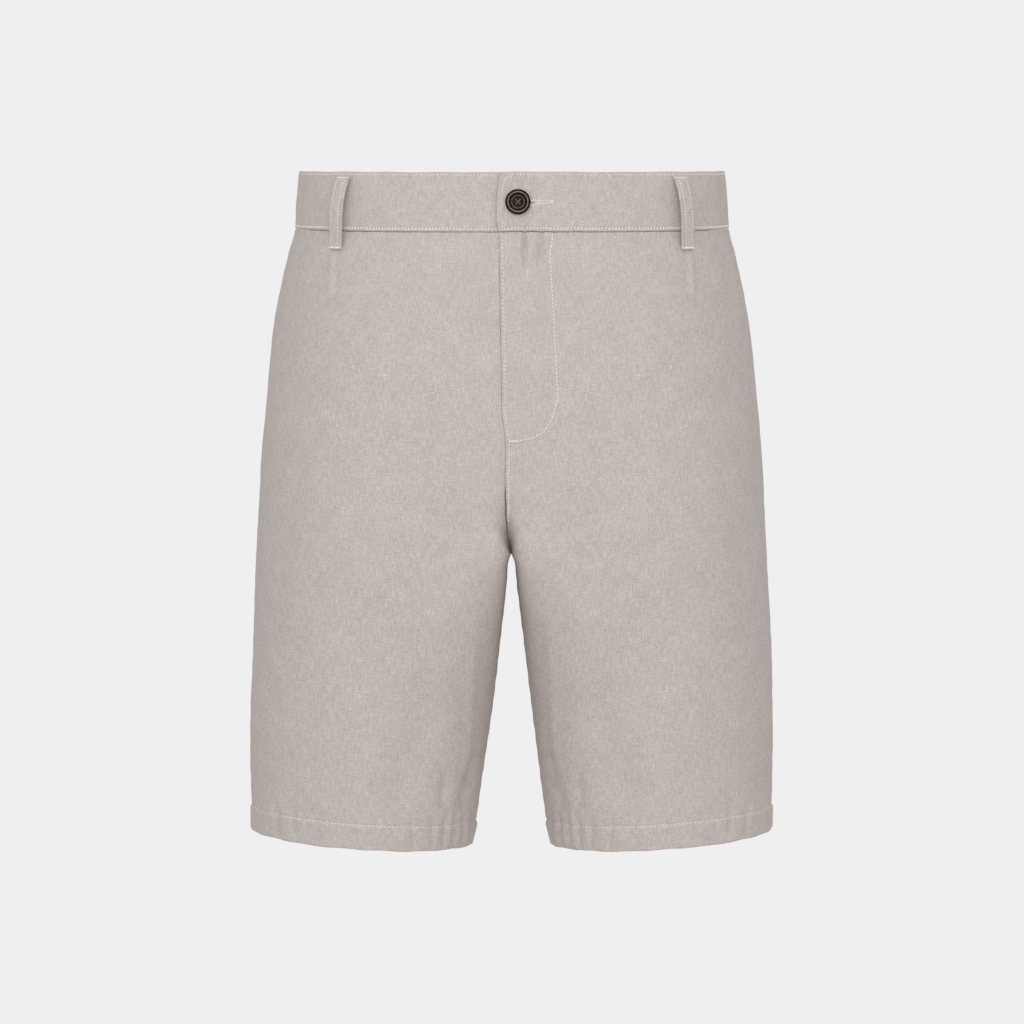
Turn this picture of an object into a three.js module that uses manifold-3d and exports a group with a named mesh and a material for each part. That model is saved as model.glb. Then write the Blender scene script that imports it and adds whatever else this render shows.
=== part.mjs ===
// Bermuda shorts in plain linen and cotton cloth, filled out as when worn, with nobody in them.
// Millimetres. x runs to the wearer's left, y to the back and z up.
// z is 0 at the top edge of the waistband at the sides.
import * as THREE from "three";
import { mergeVertices } from "three/addons/utils/BufferGeometryUtils.js";
import Module from "manifold-3d";

// Driving dimensions
const SEAM_GAP = 0.3;
const PANEL_WALL = 1.2;
const HEM_WALL = 2.4;
const HEM_Z = -490.3;
const HEM_DEPTH = 18;
const CROTCH = { y: -52, z: -282 };
const FRONT_CURVE = { top: -212, power: 0.42 };
const BACK_CURVE = { top: -165, power: 0.45 };
const LEG_CENTRE = 109;
const BAND = { height: 42.3, wall: 2.4, proud: 0.6, steps: 44, crowding: 1.15 };
const BAND_ROWS = [0, -1.2, -14, -28, -41, -BAND.height];
const LAP = { over: 1.3, under: 1.4, underEnd: 35, rampFrom: 40, rampTo: 75, underFrom: 14, underTo: 50 };
const LOOP = { width: 11.5, wall: 1.6, top: -3.5, bottom: -56.5, standOff: 6, steps: 12 };
const LOOP_SHARE = { front: 0.286, back: 0.66 };
const SHIELD = { wall: 1.5, from: -14, to: 37, bottom: -186 };
const POCKET = { wall: 1.2, reach: 24, top: -66, bottom: -247 };
const BUTTON = { x: 4.1, zBelowTop: 21.7, height: 3.2, liftOff: 1.6, holeCircle: 2.3, hole: 1.15 };
const THREAD = { leg: 0.75, legInset: 0.2, plate: 4, plateHeight: 1 };
const THREAD_BAR = { height: 0.7, width: 1, belowRim: 1.5 };

// The profile of the button, from the middle of its back to the middle of its face.
const BUTTON_PROFILE = [
  { radius: 0, height: 0 },
  { radius: 7.4, height: 0 },
  { radius: 9, height: 1.1 },
  { radius: 9, height: 2.3 },
  { radius: 8, height: 3.2 },
  { radius: 6.8, height: 3 },
  { radius: 5.7, height: 1.9 },
  { radius: 0, height: 1.7 },
];

// How the shorts hang: the top edge is tilted and dips at the front and back, and the hems rise to the
// outside.
const TOP_HANG = { from: -120, to: -45, tilt: 0.076, dip: 0.032, roundness: 30 };
const HEM_HANG = { from: -330, to: -470, rise: 0.07, tilt: 0.04 };

// The handles of a curve that turns a quarter: its share when it is round, and its share on the hips.
const ROUND = 0.5523;
const HIP_FULL = { share: 0.59, from: -200, to: -330 };

// Half sections of the shorts, one row for each height: half width at the side seam, y of the front,
// of the side seam and of the back, and how far out the front and the back stay flat.
const SECTIONS = [
  { z: 0, width: 156.6, front: -108, side: 2, back: 112, frontFlat: 28, backFlat: 30 },
  { z: -22, width: 158.8, front: -109.5, side: 2, back: 114.5, frontFlat: 29, backFlat: 31 },
  { z: -42, width: 159.9, front: -111, side: 2, back: 117.5, frontFlat: 31, backFlat: 34 },
  { z: -60, width: 164.8, front: -113.5, side: 3, back: 122.5, frontFlat: 34, backFlat: 40 },
  { z: -80, width: 169.4, front: -116, side: 4, back: 128, frontFlat: 38, backFlat: 48 },
  { z: -115, width: 175.8, front: -118.7, side: 5, back: 135, frontFlat: 46, backFlat: 60 },
  { z: -155, width: 180.2, front: -120, side: 6, back: 139, frontFlat: 56, backFlat: 70 },
  { z: -206, width: 184.6, front: -119.5, side: 6, back: 136, frontFlat: 72, backFlat: 80 },
  { z: -245, width: 186.5, front: -117.5, side: 5, back: 129, frontFlat: 84, backFlat: 88 },
  { z: -282, width: 188.6, front: -114, side: 3, back: 120.5, frontFlat: 93, backFlat: 95 },
  { z: -320, width: 190.3, front: -109.5, side: 1, back: 112, frontFlat: 98, backFlat: 99 },
  { z: -370, width: 191.7, front: -103, side: -1, back: 101, frontFlat: 102, backFlat: 102 },
  { z: -430, width: 192.6, front: -95, side: -3, back: 88.5, frontFlat: 106, backFlat: 106 },
  { z: -496, width: 191.2, front: -86.5, side: -5, back: 76, frontFlat: 109, backFlat: 109 },
];

// The inside of the leg: its distance from the middle plane and its y, from the crotch to the hem.
const INSEAM = [
  { z: -282, x: 0, y: -52 },
  { z: -288, x: 2.3, y: -51.6 },
  { z: -302, x: 3.4, y: -49.6 },
  { z: -317, x: 4.9, y: -46 },
  { z: -347, x: 8.5, y: -37 },
  { z: -376, x: 12.2, y: -29 },
  { z: -406, x: 16.3, y: -22 },
  { z: -436, x: 20.4, y: -17 },
  { z: -466, x: 24.9, y: -13 },
  { z: -496, x: 30.8, y: -11 },
];

// How squarely a section turns from the centre seam or inseam to its flat part.
const CORNER = [
  { z: -188, front: 0.5, back: 0.6 },
  { z: -282, front: 1, back: 0.78 },
  { z: -300, front: 0.85, back: 0.76 },
  { z: -320, front: 0.62, back: 0.74 },
  { z: -345, front: 0.4, back: 0.7 },
  { z: -372, front: 0.2, back: 0.66 },
  { z: -400, front: 0.08, back: 0.62 },
  { z: -496, front: 0, back: 0.6 },
];

// How steeply the cloth dives in at the centre seams, in degrees from straight across.
const CENTRE_TURN = [
  { z: -188, front: 0, back: 0 },
  { z: -204, front: 0, back: 7 },
  { z: -220, front: 12, back: 16 },
  { z: -236, front: 30, back: 29 },
  { z: -260, front: 60, back: 54 },
  { z: -274, front: 80, back: 73 },
  { z: -282, front: 90, back: 90 },
];

// The front seam lies this far past the middle, on the wearer's right, because the left front laps over
// the fly. Below the fly the valley between the legs follows it.
const FRONT_SEAM = [
  { z: -42, past: 8.9, valley: 0 },
  { z: -158, past: 7.1, valley: 0 },
  { z: -182, past: 6.9, valley: 0 },
  { z: -192, past: 5.5, valley: 2 },
  { z: -204, past: 4.2, valley: 4.2 },
  { z: -230, past: 4.4, valley: 4.4 },
  { z: -255, past: 3.8, valley: 3.8 },
  { z: -270, past: 2.2, valley: 2.2 },
  { z: -282, past: 0, valley: 0 },
];

// Where the free end of the left waistband lies, as an arc length from the middle.
const BAND_END = [
  { z: 0, arc: -8.4 },
  { z: -12, arc: -10.2 },
  { z: -24, arc: -11.2 },
  { z: -36, arc: -11 },
  { z: -42.3, arc: -9.6 },
];

// Large soft folds: troughs from one end to the other, seen from the front or the back. side 0 is on
// both legs.
const FOLDS = [
  { face: -1, side: 1, x1: 38, z1: -92, x2: 52, z2: -150, width: 15, depth: 1.6 },
  { face: -1, side: 0, x1: 80, z1: -205, x2: 66, z2: -246, width: 17, depth: 2 },
  { face: -1, side: 0, x1: 122, z1: -316, x2: 76, z2: -382, width: 20, depth: 1.8 },
  { face: -1, side: 0, x1: 60, z1: -395, x2: 78, z2: -450, width: 16, depth: 1.8 },
  { face: 1, side: 0, x1: 40, z1: -246, x2: 112, z2: -196, width: 18, depth: 2.2 },
  { face: 1, side: 0, x1: 58, z1: -288, x2: 132, z2: -330, width: 19, depth: 2.4 },
  { face: 1, side: 0, x1: 92, z1: -350, x2: 74, z2: -428, width: 18, depth: 2 },
];

// Heights of the panel rows and the number of steps round each panel.
const ROWS = [
  -42.6, -58, -78, -102, -130, -158, -186, -198, -210, -222, -234, -246, -258, -267.5, -274.5, -279, -282,
  -287, -297, -313, -336, -364, -392, -420, -448, -470.3, -472.3, -480, HEM_Z,
];
const FRONT_STEPS = 24;
const BACK_STEPS = 17;

const CLOTH_COLOUR = 0xb3a89e;
const THREAD_COLOUR = 0xd8cfc4;
const BUTTON_COLOUR = 0x3a241b;

const wasm = await Module();
wasm.setup();

const lerp = THREE.MathUtils.lerp;
const smoothstep = (x, from, to) => THREE.MathUtils.smoothstep(x, from, to);

// A smooth curve through one column of a table whose rows go down in z.
function column(table, name, z) {
  const last = table.length - 1;
  if (z >= table[0].z) return table[0][name];
  if (z <= table[last].z) return table[last][name];
  const i = table.findIndex((row) => row.z < z) - 1;
  const slope = (k) => {
    const a = table[Math.max(k - 1, 0)];
    const b = table[Math.min(k + 1, last)];
    return (b[name] - a[name]) / (b.z - a.z);
  };
  const span = table[i + 1].z - table[i].z;
  const t = (z - table[i].z) / span;
  const ends = (2 * t - 3) * t * t * (table[i][name] - table[i + 1][name]) + table[i][name];
  return ends + span * t * (t - 1) * ((t - 1) * slope(i) + t * slope(i + 1));
}

// Where the front or the back seam lies, above and below the crotch.
function innerEnd(z, face, side) {
  if (z <= CROTCH.z) return new THREE.Vector2(column(INSEAM, "x", z), column(INSEAM, "y", z));
  const name = face < 0 ? "front" : "back";
  const { top, power } = face < 0 ? FRONT_CURVE : BACK_CURVE;
  const x = face < 0 ? -side * column(FRONT_SEAM, "valley", z) : 0;
  if (z >= top) return new THREE.Vector2(x, column(SECTIONS, name, z));
  const t = (top - z) / (top - CROTCH.z);
  return new THREE.Vector2(x, lerp(CROTCH.y, column(SECTIONS, name, top), (1 - t * t) ** power));
}

// Points of a smooth curve from its first control point to its last.
function bezier(controls, count) {
  return Array.from({ length: count + 1 }, (_, i) => {
    let row = controls;
    while (row.length > 1) row = row.slice(1).map((p, k) => row[k].clone().lerp(p, i / count));
    return row[0];
  });
}

// One quarter of a section, from the centre seam or inseam to the side seam, as points with their arc
// lengths.
const quarters = new Map();
function quarter(z, face, side) {
  const key = `${z.toFixed(4)} ${face} ${side}`;
  if (quarters.has(key)) return quarters.get(key);
  const start = innerEnd(z, face, side);
  const name = face < 0 ? "front" : "back";
  const apex = new THREE.Vector2(column(SECTIONS, `${name}Flat`, z), column(SECTIONS, name, z));
  const seam = new THREE.Vector2(column(SECTIONS, "width", z), column(SECTIONS, "side", z));
  const turn = THREE.MathUtils.degToRad(column(CENTRE_TURN, name, z));
  const dive = Math.sin(turn);
  const corner = column(CORNER, name, z);
  const full = lerp(HIP_FULL.share, ROUND, smoothstep(-z, -HIP_FULL.from, -HIP_FULL.to));
  const deep = corner * Math.abs(start.y - apex.y);
  const most = face < 0 ? lerp(apex.x / 3, deep, dive) : apex.x / 3;
  const out = Math.min(most, deep / Math.max(dive, 0.05));
  const back = lerp(apex.x / 3, corner * (apex.x - start.x), dive);
  const down = new THREE.Vector2(start.x + out * Math.cos(turn), start.y + face * out * dive);
  const flat = new THREE.Vector2(apex.x - back, apex.y);
  // One more point makes the front turn more sharply than the back.
  const bend = face < 0 ? [new THREE.Vector2(down.x, apex.y)] : [];
  const round = [
    new THREE.Vector2(apex.x + full * (seam.x - apex.x), apex.y),
    new THREE.Vector2(seam.x, seam.y + full * (apex.y - seam.y)),
  ];
  const points = [
    ...bezier([start, down, ...bend, flat, apex], 28),
    ...bezier([apex, ...round, seam], 32).slice(1),
  ];
  const arcs = [0];
  for (let i = 1; i < points.length; i++) arcs.push(arcs[i - 1] + points[i].distanceTo(points[i - 1]));
  const made = { points, arcs, length: arcs[arcs.length - 1] };
  quarters.set(key, made);
  return made;
}

// A point of a quarter at an arc length. Before its start the quarter goes on as its own mirror image.
function along({ points, arcs, length }, s) {
  const a = Math.min(Math.abs(s), length);
  let i = 1;
  while (i < arcs.length - 1 && arcs[i] < a) i++;
  const p = points[i - 1].clone().lerp(points[i], (a - arcs[i - 1]) / (arcs[i] - arcs[i - 1]));
  if (s < 0) p.x = 2 * points[0].x - p.x;
  return p;
}

function settled(x, y, z) {
  const dip = TOP_HANG.dip * (Math.hypot(y, TOP_HANG.roundness) - TOP_HANG.roundness);
  const top = smoothstep(z, TOP_HANG.from, TOP_HANG.to) * (TOP_HANG.tilt * y - dip);
  const rise = HEM_HANG.rise * (Math.abs(x) - LEG_CENTRE) + HEM_HANG.tilt * y;
  return new THREE.Vector3(x, y, z + top + smoothstep(-z, -HEM_HANG.from, -HEM_HANG.to) * rise);
}

// The whole half ring at one height: from the front centre (0) past the side seam to the back centre.
// Below the crotch it is a closed ring round the leg.
function ringPoint(z, s, side) {
  const front = quarter(z, -1, side);
  const back = quarter(z, 1, side);
  const total = front.length + back.length;
  const arc = z > CROTCH.z ? s : (s + total) % total;
  const flat = arc <= front.length ? along(front, arc) : along(back, total - arc);
  return settled(flat.x, flat.y, z);
}

function troughs(p, side) {
  let depth = 0;
  for (const fold of FOLDS) {
    if (fold.face * p.y < 0 || (fold.side !== 0 && fold.side !== side)) continue;
    const dx = fold.x2 - fold.x1;
    const dz = fold.z2 - fold.z1;
    const t = ((p.x - fold.x1) * dx + (p.z - fold.z1) * dz) / (dx * dx + dz * dz);
    const along = Math.max(0, Math.min(1, t));
    const away = Math.hypot(p.x - fold.x1 - along * dx, p.z - fold.z1 - along * dz);
    depth += fold.depth * Math.exp(-((away / fold.width) ** 2));
  }
  return depth;
}

// A surface point moved out along the cloth's normal, on the wearer's left. at(z) gives the arc length at
// a height.
function clothPoint(z, at, out, side) {
  const step = 0.4;
  const p = ringPoint(z, at(z), side);
  const across = ringPoint(z, at(z) + step, side).sub(ringPoint(z, at(z) - step, side));
  const down = ringPoint(z - step, at(z - step), side).sub(ringPoint(z + step, at(z + step), side));
  const normal = down.cross(across).normalize();
  p.addScaledVector(normal, out - troughs(p, side));
  return p;
}

// A closed wall from a grid of outer and inner points, with its rim faces. Its faces are turned to point out.
function wall(grid) {
  const rows = grid.length;
  const columns = grid[0].length;
  const positions = [];
  for (const face of ["outer", "inner"]) {
    for (const row of grid) for (const cell of row) positions.push(...cell[face].toArray());
  }
  const index = [];
  const outer = (r, c) => r * columns + c;
  const inner = (r, c) => rows * columns + outer(r, c);
  const quad = (a, b, c, d) => index.push(a, b, c, a, c, d);
  for (let r = 0; r < rows - 1; r++) {
    for (let c = 0; c < columns - 1; c++) {
      quad(outer(r, c), outer(r + 1, c), outer(r + 1, c + 1), outer(r, c + 1));
      quad(inner(r, c), inner(r, c + 1), inner(r + 1, c + 1), inner(r + 1, c));
    }
    quad(outer(r, 0), inner(r, 0), inner(r + 1, 0), outer(r + 1, 0));
    const last = columns - 1;
    quad(outer(r + 1, last), inner(r + 1, last), inner(r, last), outer(r, last));
  }
  for (let c = 0; c < columns - 1; c++) {
    quad(outer(0, c + 1), inner(0, c + 1), inner(0, c), outer(0, c));
    quad(outer(rows - 1, c), inner(rows - 1, c), inner(rows - 1, c + 1), outer(rows - 1, c + 1));
  }
  const geometry = new THREE.BufferGeometry();
  geometry.setAttribute("position", new THREE.Float32BufferAttribute(positions, 3));
  geometry.setIndex(signedVolume(positions, index) < 0 ? index.reverse() : index);
  return geometry;
}

function signedVolume(positions, index) {
  const point = (i) => new THREE.Vector3().fromArray(positions, 3 * i);
  let volume = 0;
  for (let i = 0; i < index.length; i += 3) {
    volume += point(index[i]).dot(point(index[i + 1]).cross(point(index[i + 2]))) / 6;
  }
  return volume;
}

// Cloth on one side of the shorts. Left and right stand half a seam gap from the middle plane.
// heights are the rows, arc(u, z) the arc length, outer(u, z) the offset and thick(u, z) the thickness.
function cloth({ side, heights, steps, arc, outer = () => 0, thick }) {
  const grid = heights.map((z) =>
    Array.from({ length: steps + 1 }, (_, i) => {
      const u = i / steps;
      const at = (height) => arc(u, height);
      const cell = {
        outer: clothPoint(z, at, outer(u, z), side),
        inner: clothPoint(z, at, outer(u, z) - thick(u, z), side),
      };
      for (const p of Object.values(cell)) p.x = side * (p.x + SEAM_GAP / 2);
      return cell;
    }),
  );
  return wall(grid);
}

// Arc length of a panel's column. Columns keep their distance from the side seam, and only those of the
// inner half follow the hook of the crotch seam.
function panelArc(u, z, face, side, start) {
  const { length } = quarter(z, face, side);
  const above = quarter(-200, face, side).length;
  const below = quarter(-300, face, side).length;
  const even = z > -200 || z < -300 ? length : lerp(above, below, smoothstep(-z, 200, 300));
  const inner = Math.max(0, 1 - 2 * u) ** 2;
  const s = length - (1 - u) * even - (length - even) * inner;
  const edge = SEAM_GAP / 2;
  return s + (1 - u) * start - u * edge;
}

// The cloth is double below the hem's stitching.
function hemWall(u, z) {
  const stitching = -HEM_Z - HEM_DEPTH;
  return lerp(PANEL_WALL, HEM_WALL, smoothstep(-z, stitching - 2, stitching));
}

// Half a seam gap, which opens as the centre seam turns into the inseam.
const inseamGap = (z) => (SEAM_GAP / 2) * smoothstep(-z, -CROTCH.z - 7, -CROTCH.z);

function frontPanel(side) {
  const lap = (z) => -side * (column(FRONT_SEAM, "past", z) - column(FRONT_SEAM, "valley", z));
  const arc = (u, z) => panelArc(u, z, -1, side, lap(z) + inseamGap(z));
  return cloth({ side, heights: ROWS, steps: FRONT_STEPS, arc, thick: hemWall });
}

// The whole length of the half ring at one height.
const ringLength = (z, side) => quarter(z, -1, side).length + quarter(z, 1, side).length;

function backPanel(side) {
  const arc = (u, z) => ringLength(z, side) - panelArc(u, z, 1, side, inseamGap(z));
  return cloth({ side, heights: ROWS, steps: BACK_STEPS, arc, thick: hemWall });
}

// The waistband half runs from the centre back to the front. The left end lies on the right one.
function waistband(side) {
  const end = (z) => (side > 0 ? column(BAND_END, "arc", z) : -LAP.underEnd);
  const arc = (u, z) => lerp(end(z), ringLength(z, side), u ** BAND.crowding);
  const outer = (u, z) => {
    const s = arc(u, z);
    const lift = side > 0 ? LAP.over * (1 - smoothstep(s, LAP.rampFrom, LAP.rampTo)) : 0;
    const sink = side < 0 ? LAP.under * (1 - smoothstep(s, LAP.underFrom, LAP.underTo)) : 0;
    return BAND.proud + lift - sink;
  };
  return cloth({ side, heights: BAND_ROWS, steps: BAND.steps, arc, outer, thick: () => BAND.wall });
}

const loopRows = Array.from({ length: LOOP.steps + 1 }, (_, i) => {
  return lerp(LOOP.top, LOOP.bottom, i / LOOP.steps);
});

// How far the inner face of a belt loop stands off the cloth. Its ends lie on the waistband and on the
// panel below it.
function loopGap(z) {
  const seat = lerp(0, BAND.proud, smoothstep(z, -BAND.height - 6, -BAND.height)) + SEAM_GAP;
  const bow = Math.sin((Math.PI * (z - LOOP.bottom)) / (LOOP.top - LOOP.bottom));
  return seat + LOOP.standOff * Math.max(0, bow) ** 0.7;
}

// A belt loop of the front or the back, at its share of the way round.
function beltLoop(side, share) {
  const arc = (u, z) => share * ringLength(z, side) + (u - 0.5) * LOOP.width;
  const outer = (u, z) => loopGap(z) + LOOP.wall;
  return cloth({ side, heights: loopRows, steps: 3, arc, outer, thick: () => LOOP.wall });
}

// The loop at the centre back lies across the middle, so one half of it is the other's mirror image.
function backCentreLoop() {
  const grid = loopRows.map((z) =>
    [-1, -1 / 3, 1 / 3, 1].map((across) => {
      const at = (height) => ringLength(height, 1) - (Math.abs(across) * LOOP.width) / 2;
      const cell = {
        outer: clothPoint(z, at, loopGap(z) + LOOP.wall, 1),
        inner: clothPoint(z, at, loopGap(z), 1),
      };
      for (const p of Object.values(cell)) p.x *= Math.sign(across);
      return cell;
    }),
  );
  return wall(grid);
}

// The shield behind the fly hangs from the waistband and lies behind the left front and the edge of the
// right one.
function flyShield() {
  const arc = (u) => lerp(SHIELD.from, SHIELD.to, u);
  const heights = ROWS.filter((z) => z >= SHIELD.bottom);
  const outer = () => -PANEL_WALL - SEAM_GAP;
  return cloth({ side: 1, heights, steps: 6, arc, outer, thick: () => SHIELD.wall });
}

// The facing behind the mouth of a side pocket spans the side seam inside.
function pocketFacing(side) {
  const arc = (u, z) => quarter(z, -1, side).length + lerp(-POCKET.reach, POCKET.reach, u);
  const heights = [POCKET.top, ...ROWS.filter((z) => z < POCKET.top && z > POCKET.bottom), POCKET.bottom];
  const outer = () => -PANEL_WALL - SEAM_GAP;
  return cloth({ side, heights, steps: 6, arc, outer, thick: () => POCKET.wall });
}

function solidOf(geometry) {
  const bare = geometry.clone();
  bare.deleteAttribute("normal");
  bare.deleteAttribute("uv");
  const merged = mergeVertices(bare);
  const { Manifold, Mesh } = wasm;
  return new Manifold(
    new Mesh({
      numProp: 3,
      vertProperties: new Float32Array(merged.attributes.position.array),
      triVerts: new Uint32Array(merged.index.array),
    }),
  );
}

function geometryOf(solid) {
  const mesh = solid.getMesh();
  const geometry = new THREE.BufferGeometry();
  geometry.setAttribute("position", new THREE.BufferAttribute(mesh.vertProperties, 3));
  geometry.setIndex(new THREE.BufferAttribute(mesh.triVerts, 1));
  return geometry;
}

// Four places round the middle of the button, in its own frame with its axis along y.
const buttonHoles = [1, 3, 5, 7].map((eighth) => {
  const angle = (eighth * Math.PI) / 4;
  return [BUTTON.holeCircle * Math.cos(angle), BUTTON.holeCircle * Math.sin(angle)];
});

// A four-hole button with a raised rim and a sunk middle. Its back is at y 0 and its face towards -y.
function button() {
  const profile = BUTTON_PROFILE.map((row) => new THREE.Vector2(row.radius, row.height));
  let solid = solidOf(new THREE.LatheGeometry(profile, 32));
  for (const [x, z] of buttonHoles) {
    const drill = new THREE.CylinderGeometry(BUTTON.hole, BUTTON.hole, 3 * BUTTON.height, 10);
    drill.translate(x, 0, z);
    solid = solid.subtract(solidOf(drill));
  }
  const geometry = geometryOf(solid);
  geometry.rotateX(Math.PI);
  return geometry;
}

// The sewing thread: a cross on the button's face, four legs through its holes and the shank behind it.
function buttonThread() {
  const face = BUTTON.height - THREAD_BAR.belowRim + SEAM_GAP;
  const low = SEAM_GAP - BUTTON.liftOff;
  const barLength = 2 * (BUTTON.holeCircle + THREAD.leg);
  const bar = new THREE.BoxGeometry(barLength, THREAD_BAR.height, THREAD_BAR.width);
  const parts = [];
  for (const angle of [Math.PI / 4, -Math.PI / 4]) {
    parts.push(bar.clone().rotateY(angle).translate(0, face + THREAD_BAR.height / 2, 0));
  }
  const legLow = low + THREAD.legInset;
  const legHigh = face + THREAD_BAR.height - THREAD.legInset;
  for (const [x, z] of buttonHoles) {
    const leg = new THREE.CylinderGeometry(THREAD.leg, THREAD.leg, legHigh - legLow, 8);
    parts.push(leg.translate(x, (legLow + legHigh) / 2, z));
  }
  const plate = new THREE.CylinderGeometry(THREAD.plate, THREAD.plate, THREAD.plateHeight, 16);
  parts.push(plate.translate(0, low + THREAD.plateHeight / 2, 0));
  const solid = parts.map(solidOf).reduce((sum, part) => sum.add(part));
  const geometry = geometryOf(solid);
  geometry.rotateX(Math.PI);
  return geometry;
}

function material(color, roughness) {
  return new THREE.MeshStandardMaterial({ color, roughness, metalness: 0 });
}

const clothMaterial = () => material(CLOTH_COLOUR, 0.92);
const threadMaterial = () => material(THREAD_COLOUR, 0.8);
const buttonMaterial = () => material(BUTTON_COLOUR, 0.45);

const shorts = new THREE.Group();
shorts.name = "bermuda_shorts";

function add(name, geometry, surface) {
  const mesh = new THREE.Mesh(geometry, surface);
  mesh.name = name;
  shorts.add(mesh);
  return mesh;
}

for (const [side, name] of [[-1, "right"], [1, "left"]]) {
  add(`front_${name}`, frontPanel(side), clothMaterial());
  add(`back_${name}`, backPanel(side), clothMaterial());
  add(`waistband_${name}`, waistband(side), clothMaterial());
  add(`belt_loop_front_${name}`, beltLoop(side, LOOP_SHARE.front), clothMaterial());
  add(`belt_loop_back_${name}`, beltLoop(side, LOOP_SHARE.back), clothMaterial());
  add(`pocket_facing_${name}`, pocketFacing(side), clothMaterial());
}
add("belt_loop_back_centre", backCentreLoop(), clothMaterial());
add("fly_shield", flyShield(), clothMaterial());

// The button stands on the outer face of the left waistband end.
const buttonSeat = clothPoint(-BUTTON.zBelowTop, () => BUTTON.x, BAND.proud + LAP.over, 1);
const buttonMesh = add("button", button(), buttonMaterial());
const threadMesh = add("button_thread", buttonThread(), threadMaterial());
for (const mesh of [buttonMesh, threadMesh]) {
  mesh.position.set(buttonSeat.x, buttonSeat.y - BUTTON.liftOff, buttonSeat.z);
}

export default shorts;
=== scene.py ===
"""Bermuda shorts in plain linen and cotton cloth, filled out as when worn, with nobody in them.

Tables and sizes are in millimetres, in the part's own frame: x to the wearer's left, y to the back, z up from the top
edge of the waistband at the sides. Meshes are made in metres.
"""
import math

import bmesh
import bpy
import numpy as np
from mathutils import Matrix, Vector


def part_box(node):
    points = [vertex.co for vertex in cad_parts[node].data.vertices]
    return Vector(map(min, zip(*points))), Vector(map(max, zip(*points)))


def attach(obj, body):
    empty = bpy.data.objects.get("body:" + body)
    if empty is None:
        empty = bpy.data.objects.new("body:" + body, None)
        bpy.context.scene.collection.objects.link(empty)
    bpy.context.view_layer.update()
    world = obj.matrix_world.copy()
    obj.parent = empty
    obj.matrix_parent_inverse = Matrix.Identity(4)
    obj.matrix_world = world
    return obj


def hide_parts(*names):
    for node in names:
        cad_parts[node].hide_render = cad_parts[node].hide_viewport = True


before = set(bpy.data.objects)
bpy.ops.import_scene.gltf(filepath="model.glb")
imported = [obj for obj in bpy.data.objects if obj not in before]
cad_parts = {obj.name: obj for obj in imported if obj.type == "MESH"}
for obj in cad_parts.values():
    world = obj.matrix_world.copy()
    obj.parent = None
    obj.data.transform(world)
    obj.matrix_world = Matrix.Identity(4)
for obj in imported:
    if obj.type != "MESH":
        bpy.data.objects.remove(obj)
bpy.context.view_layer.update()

MM = 0.001

FRONT, BACK = -1, 1
FACE_NAME = {FRONT: "front", BACK: "back"}
SIDES = {"right": -1, "left": 1}

# Driving dimensions, as in the solids
SEAM_GAP = 0.3
PANEL_WALL, HEM_WALL = 1.2, 2.4
HEM_Z, HEM_DEPTH = -490.3, 18.0
HEM_STITCH = HEM_Z + HEM_DEPTH
CROTCH_Y, CROTCH_Z = -52.0, -282.0
CURVE_TOP = {FRONT: -212.0, BACK: -165.0}
CURVE_POWER = {FRONT: 0.42, BACK: 0.45}
LEG_CENTRE = 109.0
BAND_HEIGHT, BAND_WALL, BAND_PROUD = 42.3, 2.4, 0.6
LAP_OVER, LAP_UNDER, LAP_UNDER_END = 1.3, 1.4, 35.0
LOOP_WIDTH, LOOP_WALL, LOOP_TOP, LOOP_BOTTOM, LOOP_STAND_OFF = 11.5, 1.6, -3.5, -56.5, 6.0
LOOP_SHARE = {"front": 0.286, "back": 0.66}
BUTTON_X, BUTTON_BELOW_TOP = 4.1, 21.7


def table(names, *rows):
    """Columns by name. The rows go down in z."""
    return dict(zip(names.split(), np.array(rows, float).T))


# Half sections: half width at the side seam, y of the front, of the side seam and of the back, and how far out the
# front and the back stay flat
SECTIONS = table(
    "z width front side back front_flat back_flat",
    (0, 156.6, -108, 2, 112, 28, 30),
    (-22, 158.8, -109.5, 2, 114.5, 29, 31),
    (-42, 159.9, -111, 2, 117.5, 31, 34),
    (-60, 164.8, -113.5, 3, 122.5, 34, 40),
    (-80, 169.4, -116, 4, 128, 38, 48),
    (-115, 175.8, -118.7, 5, 135, 46, 60),
    (-155, 180.2, -120, 6, 139, 56, 70),
    (-206, 184.6, -119.5, 6, 136, 72, 80),
    (-245, 186.5, -117.5, 5, 129, 84, 88),
    (-282, 188.6, -114, 3, 120.5, 93, 95),
    (-320, 190.3, -109.5, 1, 112, 98, 99),
    (-370, 191.7, -103, -1, 101, 102, 102),
    (-430, 192.6, -95, -3, 88.5, 106, 106),
    (-496, 191.2, -86.5, -5, 76, 109, 109),
)

# The inside of the leg, from the crotch to the hem
INSEAM = table(
    "z x y",
    (-282, 0, -52),
    (-288, 2.3, -51.6),
    (-302, 3.4, -49.6),
    (-317, 4.9, -46),
    (-347, 8.5, -37),
    (-376, 12.2, -29),
    (-406, 16.3, -22),
    (-436, 20.4, -17),
    (-466, 24.9, -13),
    (-496, 30.8, -11),
)

# How squarely a section turns from the centre seam or inseam to its flat part
CORNER = table(
    "z front back",
    (-188, 0.5, 0.6),
    (-282, 1, 0.78),
    (-300, 0.85, 0.76),
    (-320, 0.62, 0.74),
    (-345, 0.4, 0.7),
    (-372, 0.2, 0.66),
    (-400, 0.08, 0.62),
    (-496, 0, 0.6),
)

# Where the free end of the left waistband lies, as an arc length from the middle
BAND_END = table(
    "z arc",
    (0, -8.4),
    (-12, -10.2),
    (-24, -11.2),
    (-36, -11),
    (-42.3, -9.6),
)

# How steeply the cloth dives in at the centre seams, in degrees from straight across
CENTRE_TURN = table(
    "z front back",
    (-188, 0, 0),
    (-204, 0, 7),
    (-220, 4, 16),
    (-236, 18, 29),
    (-260, 58, 54),
    (-274, 80, 73),
    (-282, 90, 90),
)

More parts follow.
